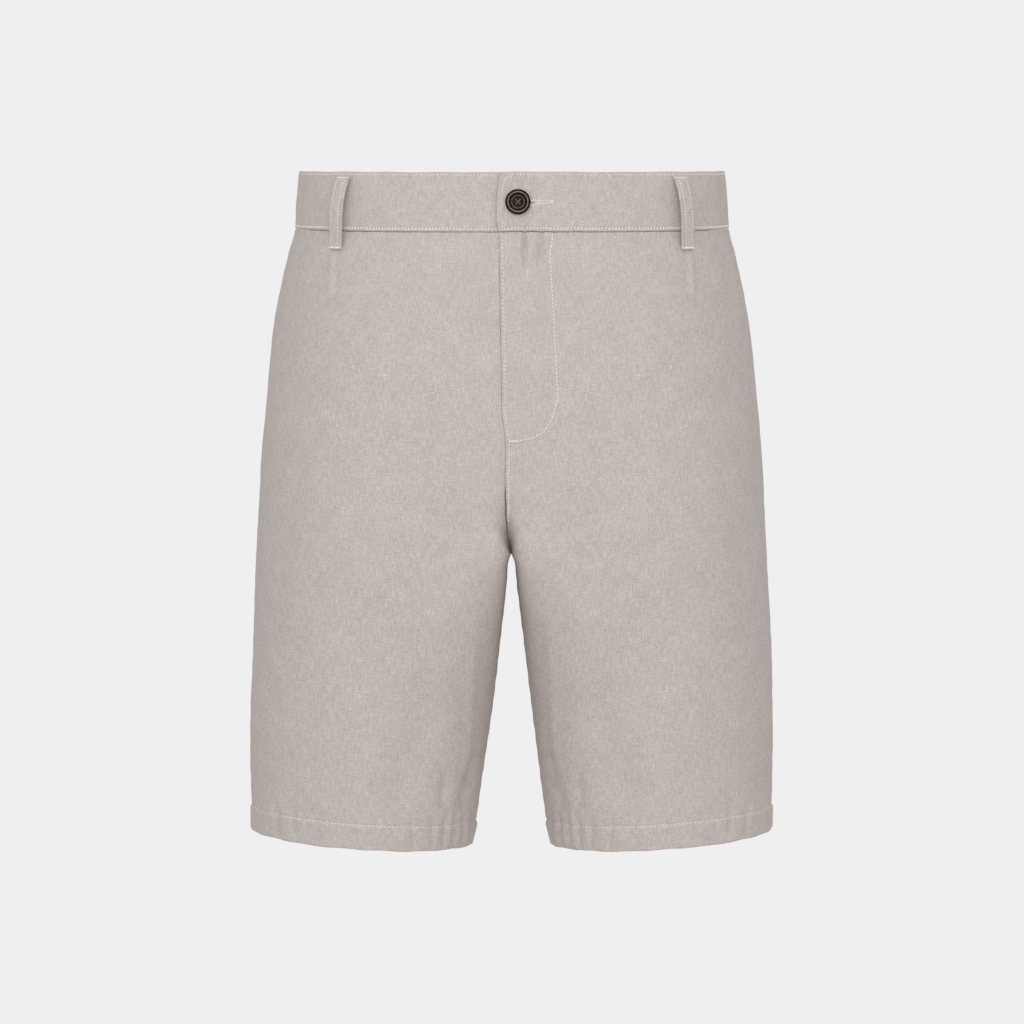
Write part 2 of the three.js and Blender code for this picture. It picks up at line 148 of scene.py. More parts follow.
# The front seam's way past the middle, and how much of that is the valley between the legs
FRONT_SEAM = table(
    "z past valley",
    (-42, 8.9, 0),
    (-158, 7.1, 0),
    (-182, 6.9, 0),
    (-192, 5.5, 2),
    (-204, 4.2, 4.2),
    (-230, 4.4, 4.4),
    (-255, 3.8, 3.8),
    (-270, 2.2, 2.2),
    (-282, 0, 0),
)

# Large soft folds, as in the solids: face, side (0 is both), the two ends in x and z, width and depth
FOLDS = (
    (FRONT, 1, 38, -92, 52, -150, 15, 1.6),
    (FRONT, 0, 80, -205, 66, -246, 17, 2.0),
    (FRONT, 0, 122, -316, 76, -382, 20, 1.8),
    (FRONT, 0, 60, -395, 78, -450, 16, 1.8),
    (BACK, 0, 40, -246, 112, -196, 18, 2.2),
    (BACK, 0, 58, -288, 132, -330, 19, 2.4),
    (BACK, 0, 92, -350, 74, -428, 18, 2.0),
)

# Finer creases in the same columns. A negative depth is a ridge.
CREASES = (
    (FRONT, 1, 5.4, -52, 5, -72, 2.4, -1.1),
    (FRONT, 1, 9.0, -50, 8.2, -79, 1.1, 2.6),
    (FRONT, 1, 14, -55, 14.4, -72, 3.4, -0.9),
    (FRONT, 1, 21.6, -50, 20.2, -76, 1.7, 2.1),
    (FRONT, 1, 24.8, -53, 25.4, -68, 1.8, -0.8),
    (FRONT, 1, 31, -56, 33, -86, 4.0, 0.7),
    (FRONT, 1, 37.7, -95, 52, -150, 8, 0.8),
    (FRONT, 1, 62, -59, 98, -66, 4.5, 0.8),
    (FRONT, -1, 52, -60, 92, -67, 5, 0.6),
    (FRONT, 0, 128.8, -66, 129.4, -98, 1.7, -1.2),
    (FRONT, 0, 125.4, -66, 126, -94, 2.2, 0.7),
    (FRONT, 1, 24, -150, 36, -172, 5, 0.5),
    (FRONT, 1, 10, -180, 26, -171, 3.4, 1.4),
    (FRONT, 1, 12, -196, 30, -206, 6, 0.6),
    (FRONT, 1, 7, -207, 9, -230, 5.5, 1.2),
    (FRONT, -1, 14, -198, 34, -210, 7, 0.5),
    (FRONT, 0, 8, -206, 9, -236, 5, 0.4),
    (FRONT, 0, 70, -212, 80, -240, 10, 0.7),
    (FRONT, 0, 150, -120, 160, -180, 10, 0.8),
    (FRONT, 0, 156, -240, 168, -300, 9, 0.8),
    (FRONT, 0, 140, -400, 160, -455, 10, 0.9),
    (FRONT, 0, 62, -398, 74, -446, 9, 0.6),
    (FRONT, 0, 27, -430, 36, -466, 3.6, 1.7),
    (FRONT, 0, 47, -440, 50, -466, 3.2, 1.2),
    (FRONT, 0, 26, -330, 33, -468, 2.6, -0.6),
    (BACK, 0, 12, -60, 20, -96, 6, 0.9),
    (BACK, 1, 60, -56, 96, -68, 6, 0.9),
    (BACK, -1, 66, -58, 104, -66, 6, 0.8),
    (BACK, 0, 18, -232, 58, -214, 8, 1.2),
    (BACK, 0, 16, -262, 60, -268, 8, 1.2),
    (BACK, 0, 24, -196, 70, -176, 10, 1.0),
    (BACK, 1, 120, -120, 140, -190, 12, 1.0),
    (BACK, -1, 116, -128, 142, -182, 12, 0.9),
    (BACK, 0, 70, -300, 120, -334, 11, 1.2),
    (BACK, 0, 130, -370, 150, -440, 11, 1.0),
    (BACK, 0, 40, -400, 52, -460, 7, 1.0),
    (BACK, 0, 80, -408, 96, -452, 9, 0.9),
)

# Where tacks and the pockets' ends draw the side seam in: height, half height and depth
SIDE_NOTCHES = ((-70, 2.6, 1.2), (-173, 2.2, 0.8), (-243.5, 3.2, 1.2))

# Ripples of the hem, from the pull of its stitches: face, side, x at the stitch line, lean, width and depth
HEM_RIPPLES = (
    (FRONT, 0, 29, -1.5, 1.8, 1.3),
    (FRONT, 0, 35, -1.5, 2.0, 1.5),
    (FRONT, 0, 41, -2, 2.2, 1.2),
    (FRONT, 0, 48, -2, 2.4, 1.5),
    (FRONT, 0, 57, -1, 2.6, 1.0),
    (FRONT, 0, 71, 1, 3.0, 1.3),
    (FRONT, 1, 90, 1.5, 3.6, 0.6),
    (FRONT, -1, 96, 1, 3.6, 0.7),
    (FRONT, 0, 116, 2, 4.0, 0.6),
    (FRONT, 1, 133, 2, 3.4, 0.8),
    (FRONT, -1, 140, 2, 3.4, 0.8),
    (FRONT, 0, 157, 2, 2.8, 1.3),
    (FRONT, 0, 170, 1.5, 2.4, 1.4),
    (BACK, 0, 35, -1.5, 2.2, 1.4),
    (BACK, 0, 43, -1.5, 2.4, 1.4),
    (BACK, 0, 55, -1, 3.0, 1.1),
    (BACK, 1, 74, 1, 3.4, 0.9),
    (BACK, -1, 80, 1, 3.4, 0.8),
    (BACK, 0, 104, 1, 4.0, 0.6),
    (BACK, 0, 128, 2, 3.8, 0.8),
    (BACK, 0, 152, 2, 3.0, 1.1),
    (BACK, 0, 168, 1.5, 2.6, 1.4),
)


def smoothstep(x, low, high):
    t = np.clip((np.asarray(x, float) - low) / (high - low), 0.0, 1.0)
    return t * t * (3 - 2 * t)


def bell(x, width):
    return np.exp(-((x / width) ** 2))


def unit(vectors):
    return vectors / np.maximum(np.linalg.norm(vectors, axis=-1, keepdims=True), 1e-9)


def steps_along(points):
    """The way along a line of points, from 0 at the first."""
    return np.concatenate([[0], np.cumsum(np.linalg.norm(np.diff(points, axis=0), axis=1))])


def column(curves, name, z):
    """A smooth curve through one column of a table."""
    zs, values = curves["z"], curves[name]
    z = np.clip(z, zs[-1], zs[0])
    i = np.clip(np.searchsorted(-zs, -z, side="right") - 1, 0, len(zs) - 2)
    before, after = np.maximum(np.arange(len(zs)) - 1, 0), np.minimum(np.arange(len(zs)) + 1, len(zs) - 1)
    slope = (values[after] - values[before]) / (zs[after] - zs[before])
    span = zs[i + 1] - zs[i]
    t = (z - zs[i]) / span
    between = (2 * t - 3) * t * t * (values[i] - values[i + 1]) + values[i]
    return between + span * t * (t - 1) * ((t - 1) * slope[i] + t * slope[i + 1])


def inner_end(z, face, side):
    """Where the centre seam or the inseam lies."""
    if z <= CROTCH_Z:
        return np.array([column(INSEAM, "x", z), column(INSEAM, "y", z)])
    name, top = FACE_NAME[face], CURVE_TOP[face]
    x = -side * column(FRONT_SEAM, "valley", z) if face == FRONT else 0.0
    if z >= top:
        return np.array([x, column(SECTIONS, name, z)])
    t = (top - z) / (top - CROTCH_Z)
    share = (1 - t * t) ** CURVE_POWER[face]
    return np.array([x, CROTCH_Y + (column(SECTIONS, name, top) - CROTCH_Y) * share])


def bezier(controls, count):
    t = np.linspace(0, 1, count)[:, None]
    rows = [np.outer(np.ones(count), point) for point in controls]
    while len(rows) > 1:
        rows = [(1 - t) * a + t * b for a, b in zip(rows, rows[1:])]
    return rows[0]


# The handles of a curve that turns a quarter: its share when it is round, and its share on the hips
ROUND, HIP_FULL = 0.5523, 0.59
# Points from the centre to the flat part's end, and on to the side seam
INNER_POINTS, OUTER_POINTS = 120, 110

QUARTERS = {}


def quarter(z, face, side):
    """A quarter of a section, from the centre to the side seam: its points and their arc lengths."""
    key = (round(float(z), 4), face, side)
    if key in QUARTERS:
        return QUARTERS[key]
    start = inner_end(z, face, side)
    name = FACE_NAME[face]
    section = lambda what: float(column(SECTIONS, what, z))
    apex = np.array([section(name + "_flat"), section(name)])
    seam = np.array([section("width"), section("side")])
    turn = math.radians(column(CENTRE_TURN, name, z))
    dive = math.sin(turn)
    corner = float(column(CORNER, name, z))
    full = HIP_FULL + (ROUND - HIP_FULL) * smoothstep(-z, 200, 330)
    deep = corner * abs(start[1] - apex[1])
    most = apex[0] / 3 * (1 - dive) + deep * dive if face == FRONT else apex[0] / 3
    out = min(most, deep / max(dive, 0.05))
    back = apex[0] / 3 * (1 - dive) + corner * (apex[0] - start[0]) * dive
    down = start + [out * math.cos(turn), face * out * dive]
    bend = [[down[0], apex[1]]] if face == FRONT else []
    inner_turn = [start, down, *bend, apex - [back, 0], apex]
    outer_turn = [apex, apex + [full * (seam[0] - apex[0]), 0], seam + [0, full * (apex[1] - seam[1])], seam]
    points = np.vstack([bezier(inner_turn, INNER_POINTS), bezier(outer_turn, OUTER_POINTS)[1:]])
    QUARTERS[key] = points, steps_along(points)
    return QUARTERS[key]


def length(z, face, side):
    return quarter(z, face, side)[1][-1]


def on_quarter(z, face, side, s):
    """Points of a quarter at arc lengths s. Before its start it goes on as its mirror image, or round the leg."""
    points, arcs = quarter(z, face, side)
    a = np.abs(s)
    x, y = np.interp(a, arcs, points[:, 0]), np.interp(a, arcs, points[:, 1])
    before = s < 0
    if z > CROTCH_Z:
        x = np.where(before, 2 * points[0, 0] - x, x)
    return x, y


def settled(x, y, z):
    """The top edge is lower at the front and higher at the back, and the hems rise to the outside."""
    top = smoothstep(z, -120, -45) * (0.076 * y - 0.032 * (np.hypot(y, 30) - 30))
    hem = smoothstep(-z, 330, 470) * (0.07 * (np.abs(x) - LEG_CENTRE) + 0.04 * y)
    return np.stack([x, y, z + top + hem], axis=-1)


def ring_points(z, side, s):
    """Points of the half ring at arc lengths from the front centre past the side seam to the back centre."""
    front, back = length(z, FRONT, side), length(z, BACK, side)
    fx, fy = on_quarter(z, FRONT, side, np.minimum(s, front))
    bx, by = on_quarter(z, BACK, side, front + back - np.maximum(s, front))
    ahead = s <= front
    x, y = np.where(ahead, fx, bx), np.where(ahead, fy, by)
    return settled(x, y, np.full_like(x, z))


def ring_length(z, side):
    return length(z, FRONT, side) + length(z, BACK, side)


def segment_distance(x, z, x1, z1, x2, z2):
    dx, dz = x2 - x1, z2 - z1
    t = np.clip(((x - x1) * dx + (z - z1) * dz) / (dx * dx + dz * dz), 0, 1)
    return np.hypot(x - x1 - t * dx, z - z1 - t * dz), t


def relief(points, side):
    """How far the cloth lies in from its smooth form: large folds, creases and a slow unevenness."""
    x, y, z = points[..., 0], points[..., 1], points[..., 2]
    depth = np.zeros(x.shape)
    for face, only, x1, z1, x2, z2, width, deep in FOLDS:
        if only in (0, side):
            away, _ = segment_distance(x, z, x1, z1, x2, z2)
            depth += (face * y > 0) * deep * bell(away, width)
    for face, only, x1, z1, x2, z2, width, deep in CREASES:
        if only in (0, side):
            away, t = segment_distance(x, z, x1, z1, x2, z2)
            uneven = 1 + 0.25 * np.sin(0.11 * z + 1.7 * side + x1)
            taper = 0.35 + 0.65 * np.sin(math.pi * np.clip(0.12 + 0.76 * t, 0, 1))
            depth += 1.3 * (face * y > 0) * deep * uneven * taper * bell(away, width)
    phase = 1.3 * side
    wander = np.sin(0.021 * x * side + 0.034 * z + phase) + 0.7 * np.sin(0.047 * z - 0.03 * y + 2 * phase)
    wander += 0.6 * np.sin(0.083 * x + 0.029 * z - phase) + 0.5 * np.sin(0.071 * y + 0.061 * z + phase)
    fine = np.sin(0.19 * z + 0.12 * x + phase) * np.sin(0.16 * x - 0.07 * z) + np.sin(0.23 * y + 0.13 * z - phase) * 0.6
    return depth + 0.2 * wander + 0.1 * fine


def hem_relief(points, heights, side):
    """How far the hem's ripples lie in. They are deepest at the stitches and fade to the lower edge."""
    x, y = points[..., 0], points[..., 1]
    rise = smoothstep(-heights, -HEM_STITCH - 16, -HEM_STITCH + 1)
    fall = 1 - 0.65 * smoothstep(-heights, -HEM_Z - 9, -HEM_Z)
    depth = np.zeros(x.shape)
    for face, only, at, lean, width, deep in HEM_RIPPLES:
        if only in (0, side):
            away = x - at - lean * (heights - HEM_STITCH) / HEM_DEPTH
            depth += (face * y > 0) * deep * (bell(away, width) - 0.45 * bell(away, 2.2 * width))
    return 1.35 * depth * (rise * fall)


def edge_round(distance, radius):
    """The share of a wall's thickness that is left near a rounded edge."""
    t = np.clip(np.asarray(distance, float) / radius, 0, 1)
    return np.maximum(np.sqrt(1 - (1 - t) ** 2), 0.12)


def normals_of(grid):
    return unit(np.cross(np.gradient(grid, axis=0), np.gradient(grid, axis=1)))


GRAIN_X = 96.0


def grain_line(z, face, side):
    """The arc length of a panel's middle, where the yarns run straight down."""
    points, arcs = quarter(z, face, side)
    arc = np.interp(GRAIN_X, points[:, 0], arcs)
    return arc if face == FRONT else ring_length(z, side) - arc


class Cloth:
    """A wall of cloth as grids: its outer points, their normals, nominal heights and arc lengths."""

    def __init__(self, side, heights, arcs, middle, thickness, hem=False, grain=FRONT):
        self.heights, self.arcs = heights, arcs
        smooth = np.array([ring_points(z, side, s) for z, s in zip(heights, arcs)])
        depth = relief(smooth, side)
        if hem:
            depth = depth + hem_relief(smooth, heights[:, None], side)
        grown = smooth - normals_of(smooth) * depth[..., None]
        self.raise_wall(grown, normals_of(grown), middle, thickness)
        middle_line = np.array([grain_line(z, grain, side) for z in heights])[:, None]
        self.uv = np.stack([arcs - middle_line, np.repeat(heights[:, None], arcs.shape[1], 1)], -1)
        for grid in (self.outer, self.inner):
            grid[..., 0] = side * (grid[..., 0] + SEAM_GAP / 2)
        self.normals = self.normals * [side, 1, 1]

    def raise_wall(self, points, normals, middle, thickness):
        """Sets the wall's two faces. middle is how far out from the points the wall's middle lies."""
        self.outer = points + normals * (middle + thickness / 2)[..., None]
        self.inner = points + normals * (middle - thickness / 2)[..., None]
        self.normals = normals

    def at(self, rows, columns):
        """Outer points and normals at fractional rows and columns."""
        r0 = np.clip(np.floor(rows).astype(int), 0, len(self.heights) - 2)
        c0 = np.clip(np.floor(columns).astype(int), 0, self.arcs.shape[1] - 2)
        fr, fc = (rows - r0)[:, None], (columns - c0)[:, None]
        mix = lambda g: ((1 - fr) * ((1 - fc) * g[r0, c0] + fc * g[r0, c0 + 1])
                         + fr * ((1 - fc) * g[r0 + 1, c0] + fc * g[r0 + 1, c0 + 1]))
        return mix(self.outer), unit(mix(self.normals))

    def lift(self, up):
        self.outer[..., 2] += up
        self.inner[..., 2] += up

    def row_of(self, z):
        return np.interp(-np.asarray(z, float), -self.heights, np.arange(len(self.heights)))

    def arcs_at(self, row):
        """The columns' arc lengths at a fractional row."""
        r0 = min(int(row), len(self.heights) - 2)
        return self.arcs[r0] + (row - r0) * (self.arcs[r0 + 1] - self.arcs[r0])

    def line(self, rows, wanted):
        """Points and normals at fractional rows and the wanted arc lengths."""
        numbers = np.arange(self.arcs.shape[1])
        columns = [np.interp(arc, self.arcs_at(row), numbers) for row, arc in zip(rows, wanted)]
        return self.at(rows, np.array(columns))

    def along_row(self, z, start, end, count=700):
        """The line at one nominal height, from a distance after the first column to a distance before the last."""
        rows = np.full(count, self.row_of(z))
        arc = self.arcs_at(rows[0])
        return self.line(rows, np.linspace(arc[0] + start, arc[-1] - end, count))

    def from_edge(self, distance, top, bottom, last=False, count=700):
        """The line at a distance from the first or the last column, between two heights."""
        rows = self.row_of(np.linspace(top, bottom, count))
        wanted = [self.arcs_at(row)[-1] - distance if last else self.arcs_at(row)[0] + distance for row in rows]
        return self.line(rows, wanted)

    def through_places(self, places):
        """The line through places given as distance from the first column and nominal height."""
        starts = np.interp([-z for _, z in places], -self.heights, self.arcs[:, 0])
        return self.through([(start + away, z) for start, (away, z) in zip(starts, places)])

    def through(self, places, count=600):
        """The line through places given as arc length and nominal height."""
        places = np.asarray(places, float)
        steps = steps_along(places)
        fine = np.linspace(0, steps[-1], count)
        s, z = np.interp(fine, steps, places[:, 0]), np.interp(fine, steps, places[:, 1])
        return self.line(self.row_of(z), s)


def linked(name, data):
    thing = bpy.data.objects.new(name, data)
    bpy.context.scene.collection.objects.link(thing)
    return thing


def mesh_object(name, vertices, faces, uvs=None):
    """A mesh in metres from points in millimetres. uvs holds one pair for each vertex, in millimetres too."""
    mesh = bpy.data.meshes.new(name)
    mesh.from_pydata((np.asarray(vertices) * MM).tolist(), [], faces)
    bm = bmesh.new()
    bm.from_mesh(mesh)
    bmesh.ops.recalc_face_normals(bm, faces=bm.faces)
    bm.to_mesh(mesh)
    bm.free()
    if uvs is not None:
        layer = mesh.uv_layers.new(name="cloth")
        index = np.empty(len(mesh.loops), int)
        mesh.loops.foreach_get("vertex_index", index)
        layer.data.foreach_set("uv", (np.asarray(uvs)[index] * MM).ravel())
    mesh.polygons.foreach_set("use_smooth", [True] * len(mesh.polygons))
    return linked(name, mesh)


def wall_faces(rows, columns):
    grid = np.arange(rows * columns).reshape(rows, columns)
    inner = grid + rows * columns
    quads = lambda g: np.stack([g[:-1, :-1], g[1:, :-1], g[1:, 1:], g[:-1, 1:]], -1).reshape(-1, 4)
    rim = []
    for a, b in ((grid[:, 0], inner[:, 0]), (inner[:, -1], grid[:, -1]), (inner[0], grid[0]), (grid[-1], inner[-1])):
        rim.append(np.stack([a[:-1], b[:-1], b[1:], a[1:]], -1))
    return np.vstack([quads(grid), quads(inner)[:, ::-1], *rim]).tolist()


INNER_SHIFT = (0.37, 0.61)  # from the outer face's place in the weave to the inner face's


def cloth_piece(name, cloth, node):
    vertices = np.vstack([cloth.outer.reshape(-1, 3), cloth.inner.reshape(-1, 3)])
    uv = cloth.uv.reshape(-1, 2)
    thing = mesh_object(name, vertices, wall_faces(*cloth.arcs.shape), np.vstack([uv, uv + INNER_SHIFT]))
    thing.data.materials.append(CLOTH)
    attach(thing, "root")
    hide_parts(node)


# Materials

def srgb(*values):
    return [(v / 255 / 12.92 if v <= 10 else ((v / 255 + 0.055) / 1.055) ** 2.4) for v in values] + [1.0]


class Nodes:
    """Shorthand for building a material's node tree."""

    def __init__(self, name):
        self.material = bpy.data.materials.new(name)
        self.material.use_nodes = True
        self.tree = self.material.node_tree
        self.shader = self.tree.nodes["Principled BSDF"]

    def new(self, kind, **settings):
        node = self.tree.nodes.new(kind)
        for key, value in settings.items():
            setattr(node, key, value)
        return node

    def link(self, source, target):
        self.tree.links.new(source, target)

    def math(self, operation, *values):
        node = self.new("ShaderNodeMath", operation=operation)
        for socket, value in zip(node.inputs, values):
            if isinstance(value, (int, float)):
                socket.default_value = value
            else:
                self.link(value, socket)
        return node.outputs[0]

    def noise(self, vector, scale, detail, rough):
        mapping = self.new("ShaderNodeMapping")
        mapping.inputs["Scale"].default_value = scale
        self.link(vector, mapping.inputs["Vector"])
        node = self.new("ShaderNodeTexNoise")
        node.inputs["Scale"].default_value = 1.0
        node.inputs["Detail"].default_value = detail
        node.inputs["Roughness"].default_value = rough
        self.link(mapping.outputs[0], node.inputs["Vector"])
        return node.outputs[0]

    def ramp(self, factor, *stops):
        node = self.new("ShaderNodeValToRGB")
        elements = node.color_ramp.elements
        while len(elements) < len(stops):
            elements.new(0.5)
        for element, (place, colour) in zip(elements, stops):
            element.position = place
            element.color = colour
        self.link(factor, node.inputs[0])
        return node.outputs[0]

    def bump(self, height, distance, strength):
        node = self.new("ShaderNodeBump")
        node.inputs["Distance"].default_value = distance
        node.inputs["Strength"].default_value = strength
        self.link(height, node.inputs["Height"])
        return node.outputs[0]


YARN = 0.00055  # metres from one yarn to the next
CLOTH_TONE = (199, 189, 184)


def cloth_material():
    """Plain weave of pale and darker yarns, thick and thin along their length, with a soft brushed grain."""
    m = Nodes("linen_cotton_cloth")
    uv = m.new("ShaderNodeUVMap", uv_map="cloth").outputs[0]
    split = m.new("ShaderNodeSeparateXYZ")
    m.link(uv, split.inputs[0])
    u, v = split.outputs[0], split.outputs[1]
    per = 1 / YARN
    layers = (
        (m.noise(uv, (0.75 * per, 150, 1), 1.0, 0.5), 0.38),
        (m.noise(uv, (190, 0.75 * per, 1), 1.0, 0.5), 0.28),
        (m.noise(uv, (560, 95, 1), 1.0, 0.4), 0.12),
        (m.noise(uv, (110, 520, 1), 1.0, 0.4), 0.06),
        (m.noise(uv, (980, 860, 1), 1.0, 0.6), 0.5),
        (m.noise(uv, (300, 240, 1), 2.0, 0.6), 0.19),
        (m.noise(uv, (60, 46, 1), 3.0, 0.6), 0.17),
    )
    tone = 0.5 - 0.5 * sum(weight for _, weight in layers)
    for value, weight in layers:
        tone = m.math("MULTIPLY_ADD", value, weight, tone)
    colour = m.ramp(tone, (0.0, srgb(146, 137, 131)), (0.5, srgb(*CLOTH_TONE)), (1.0, srgb(240, 234, 229)))
    m.link(colour, m.shader.inputs["Base Color"])
    over = m.math("MULTIPLY", m.math("SINE", m.math("MULTIPLY", u, math.pi * per)),
                  m.math("SINE", m.math("MULTIPLY", v, math.pi * per)))
    m.link(m.math("MULTIPLY_ADD", layers[4][0], 0.12, 0.84), m.shader.inputs["Roughness"])
    m.shader.inputs["Specular IOR Level"].default_value = 0.2
    m.shader.inputs["Sheen Weight"].default_value = 0.05
    m.shader.inputs["Sheen Roughness"].default_value = 0.5
    m.shader.inputs["Sheen Tint"].default_value = (0.95, 0.92, 0.9, 1)
    height = m.math("MULTIPLY_ADD", over, 0.25, m.math("MULTIPLY_ADD", layers[0][0], 0.6, layers[1][0]))
    height = m.math("MULTIPLY_ADD", layers[4][0], 0.6, height)
    m.link(m.bump(height, 0.00035, 0.5), m.shader.inputs["Normal"])
    return m.material


def thread_material(name, light, dark):
    """Twisted sewing thread."""
    m = Nodes(name)
    place = m.new("ShaderNodeTexCoord").outputs["Object"]
    twist = m.noise(place, (2600, 2600, 2600), 2.0, 0.6)
    m.link(m.ramp(twist, (0.3, dark), (0.7, light)), m.shader.inputs["Base Color"])
    m.shader.inputs["Roughness"].default_value = 0.7
    m.shader.inputs["Sheen Weight"].default_value = 0.2
    m.link(m.bump(twist, 0.0001, 0.6), m.shader.inputs["Normal"])
    return m.material


def horn_material(name, dark, light, rough, scale=300.0, gloss=0.5):
    """Dark resin like horn: streaks and fine scratches."""
    m = Nodes(name)
    place = m.new("ShaderNodeTexCoord").outputs["Object"]
    streak = m.noise(place, (scale, scale, 5 * scale), 4.0, 0.6)
    scratch = m.noise(place, (3000, 3000, 400), 2.0, 0.7)
    m.link(m.ramp(streak, (0.35, dark), (0.72, light)), m.shader.inputs["Base Color"])
    m.link(m.math("MULTIPLY_ADD", scratch, 0.25, rough), m.shader.inputs["Roughness"])
    m.shader.inputs["Specular IOR Level"].default_value = gloss
    m.link(m.bump(scratch, 0.00005, 0.5), m.shader.inputs["Normal"])
    return m.material


CLOTH = cloth_material()
THREAD = thread_material("cream_thread", srgb(252, 248, 242), srgb(228, 222, 214))
# Painted shade: a dark thread-like material that stands for the shadow inside the buttonhole's open slit
SLIT_SHADE = thread_material("buttonhole_shadow", srgb(118, 106, 98), srgb(84, 74, 68))
SHANK_THREAD = thread_material("grey_thread", srgb(108, 102, 97), srgb(62, 57, 54))
HORN_DARK = horn_material("button_dark", srgb(15, 7, 5), srgb(36, 20, 16), 0.38, gloss=0.13)
HORN_RIM = horn_material("button_rim", srgb(90, 66, 58), srgb(160, 132, 120), 0.34, gloss=0.3)
HORN_RING = horn_material("button_ring", srgb(60, 46, 40), srgb(134, 114, 106), 0.45, 900.0, gloss=0.2)


# Stitches

def stitches(line, pitch=3.0, share=0.74, thick=0.75, sink=0.2, slant=0.22, turned=(0.2, 0.75, 0.62)):
    """Small capsules end to end along a line of points and normals.

    They are thinner where the cloth turns away from the front and the back: turned says at which part of the normal
    along y they are thinnest, at which they have full thickness, and the share of it that is left where thinnest.
    """
    points, normals = line
    steps = steps_along(points)
    count = max(int(round(steps[-1] / pitch)), 1)
    centres = (np.arange(count) + 0.5) * steps[-1] / count
    centres = centres + 0.06 * pitch * np.sin(7.1 * np.arange(count))
    pick = lambda values, at: np.stack([np.interp(at, steps, values[:, k]) for k in range(3)], -1)
    middle, normal = pick(points, centres), pick(normals, centres)
    half = share * steps[-1] / count / 2
    ahead = pick(points, centres + half) - pick(points, centres - half)
    ahead = unit(ahead) + slant * np.cross(normal, ahead) / (2 * half)
    low, high, least = turned
    thick = thick * (least + (1 - least) * smoothstep(np.abs(normal[:, 1:2]), low, high))
    return capsules(middle, normal, unit(ahead), half, thick, sink)


# A capsule's rings: place along its half length, share of its thickness, and dip as a share of the thickness
RINGS = ((-1.0, 0.35, -0.55), (-0.72, 0.85, -0.12), (0.0, 1.0, 0.0), (0.72, 0.85, -0.12), (1.0, 0.35, -0.55))
AROUND = 6


def capsules(middle, normal, ahead, half, thick, sink):
    """Capsules of half length half at the given middles. Their ends dip into the cloth."""
    middle, normal, ahead = (np.atleast_2d(np.asarray(v, float)) for v in (middle, normal, ahead))
    normal = unit(normal - ahead * np.sum(normal * ahead, axis=1, keepdims=True))
    across = np.cross(ahead, normal)
    half = np.broadcast_to(half, (len(middle),))[:, None]
    vertices = []
    for along, width, dip in RINGS:
        centre = middle + ahead * half * along + normal * (thick * (0.5 - sink) + dip * thick)
        for k in range(AROUND):
            angle = 2 * math.pi * (k + 0.5) / AROUND
            offset = across * math.cos(angle) + normal * math.sin(angle)
            vertices.append(centre + offset * thick / 2 * width)
    vertices = np.stack(vertices, 1)
    one = []
    for r in range(len(RINGS) - 1):
        for k in range(AROUND):
            a, b = r * AROUND + k, r * AROUND + (k + 1) % AROUND
            one.append((a, b, b + AROUND, a + AROUND))
    caps = [tuple(range(AROUND))[::-1], tuple(range((len(RINGS) - 1) * AROUND, len(RINGS) * AROUND))]
    each = len(RINGS) * AROUND
    faces = [tuple(i * each + k for k in face) for i in range(len(middle)) for face in one + caps]
    return vertices.reshape(-1, 3), faces


def bar_tack(line, along, width, height, count, thick):
    """Dense zigzag stitches across a short bar in the middle of a line of points and normals."""
    centre, normal = line[0].mean(0), unit(line[1].mean(0))
    along = unit(along)
    middle = centre + np.outer(np.linspace(-0.5, 0.5, count) * width, along)
    lean = np.where(np.arange(count) % 2 == 0, 1.0, -1.0)[:, None]
    direction = unit(np.cross(normal, along) * height + lean * along * width / count)
    return capsules(middle, normal, direction, height / 2, thick, 0.15)


def joined(name, parts, material):
    vertices, faces, base = [], [], 0
    for points, quads in parts:
        vertices.append(points)
        faces += [tuple(k + base for k in face) for face in quads]
        base += len(points)
    thing = mesh_object(name, np.vstack(vertices), faces)
    thing.data.materials.append(material)
    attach(thing, "root")
    return thing


# Panels

EDGE_COLUMNS = np.array([0, 0.25, 0.6, 1.1, 1.7, 2.3, 2.9, 4.2, 6.0])
EDGE_INSET = EDGE_COLUMNS[-1]
LAP_STITCH = 2.3
# How far the edges at the centre seams run on under each other, so that no light comes through
SEAM_LAP = {FRONT: 0.25, BACK: 0.3}
PANEL_STEPS = {FRONT: 128, BACK: 118}
# The columns of a front panel are closer together at the fly
PANEL_CROWDING = {FRONT: 1.15, BACK: 1.0}

PANEL_TOP = -BAND_HEIGHT - SEAM_GAP
PANEL_HEIGHTS = np.concatenate([
    PANEL_TOP - np.array([0, 0.25, 0.6, 1.1, 1.9, 3.2, 5.0]),
    np.linspace(PANEL_TOP - 7.2, HEM_STITCH + 4, 178),
    HEM_STITCH + np.array([2.6, 1.6, 0.9, 0.4, 0, -0.4, -0.9, -1.6, -2.8, -4.6, -6.8, -9, -11.2, -13.2, -15, -16.3]),
    HEM_Z + np.array([1.1, 0.6, 0.3, 0.1, 0]),
])


def edged(low, inside, high):
    """Arc lengths with columns close together at both edges."""
    return np.concatenate([low + EDGE_COLUMNS[:-1], inside, high - EDGE_COLUMNS[:-1][::-1]])


def panel_start(z, face, side):
    """Where a panel's inner edge lies: past the middle at the fly, and apart from its neighbour below the crotch."""
    start = SEAM_GAP / 2 * float(smoothstep(-z, 275, 282))
    start -= SEAM_LAP[face] * float(1 - smoothstep(-z, 225, 245))
    if face == FRONT:
        start -= side * (column(FRONT_SEAM, "past", z) - column(FRONT_SEAM, "valley", z))
    return start


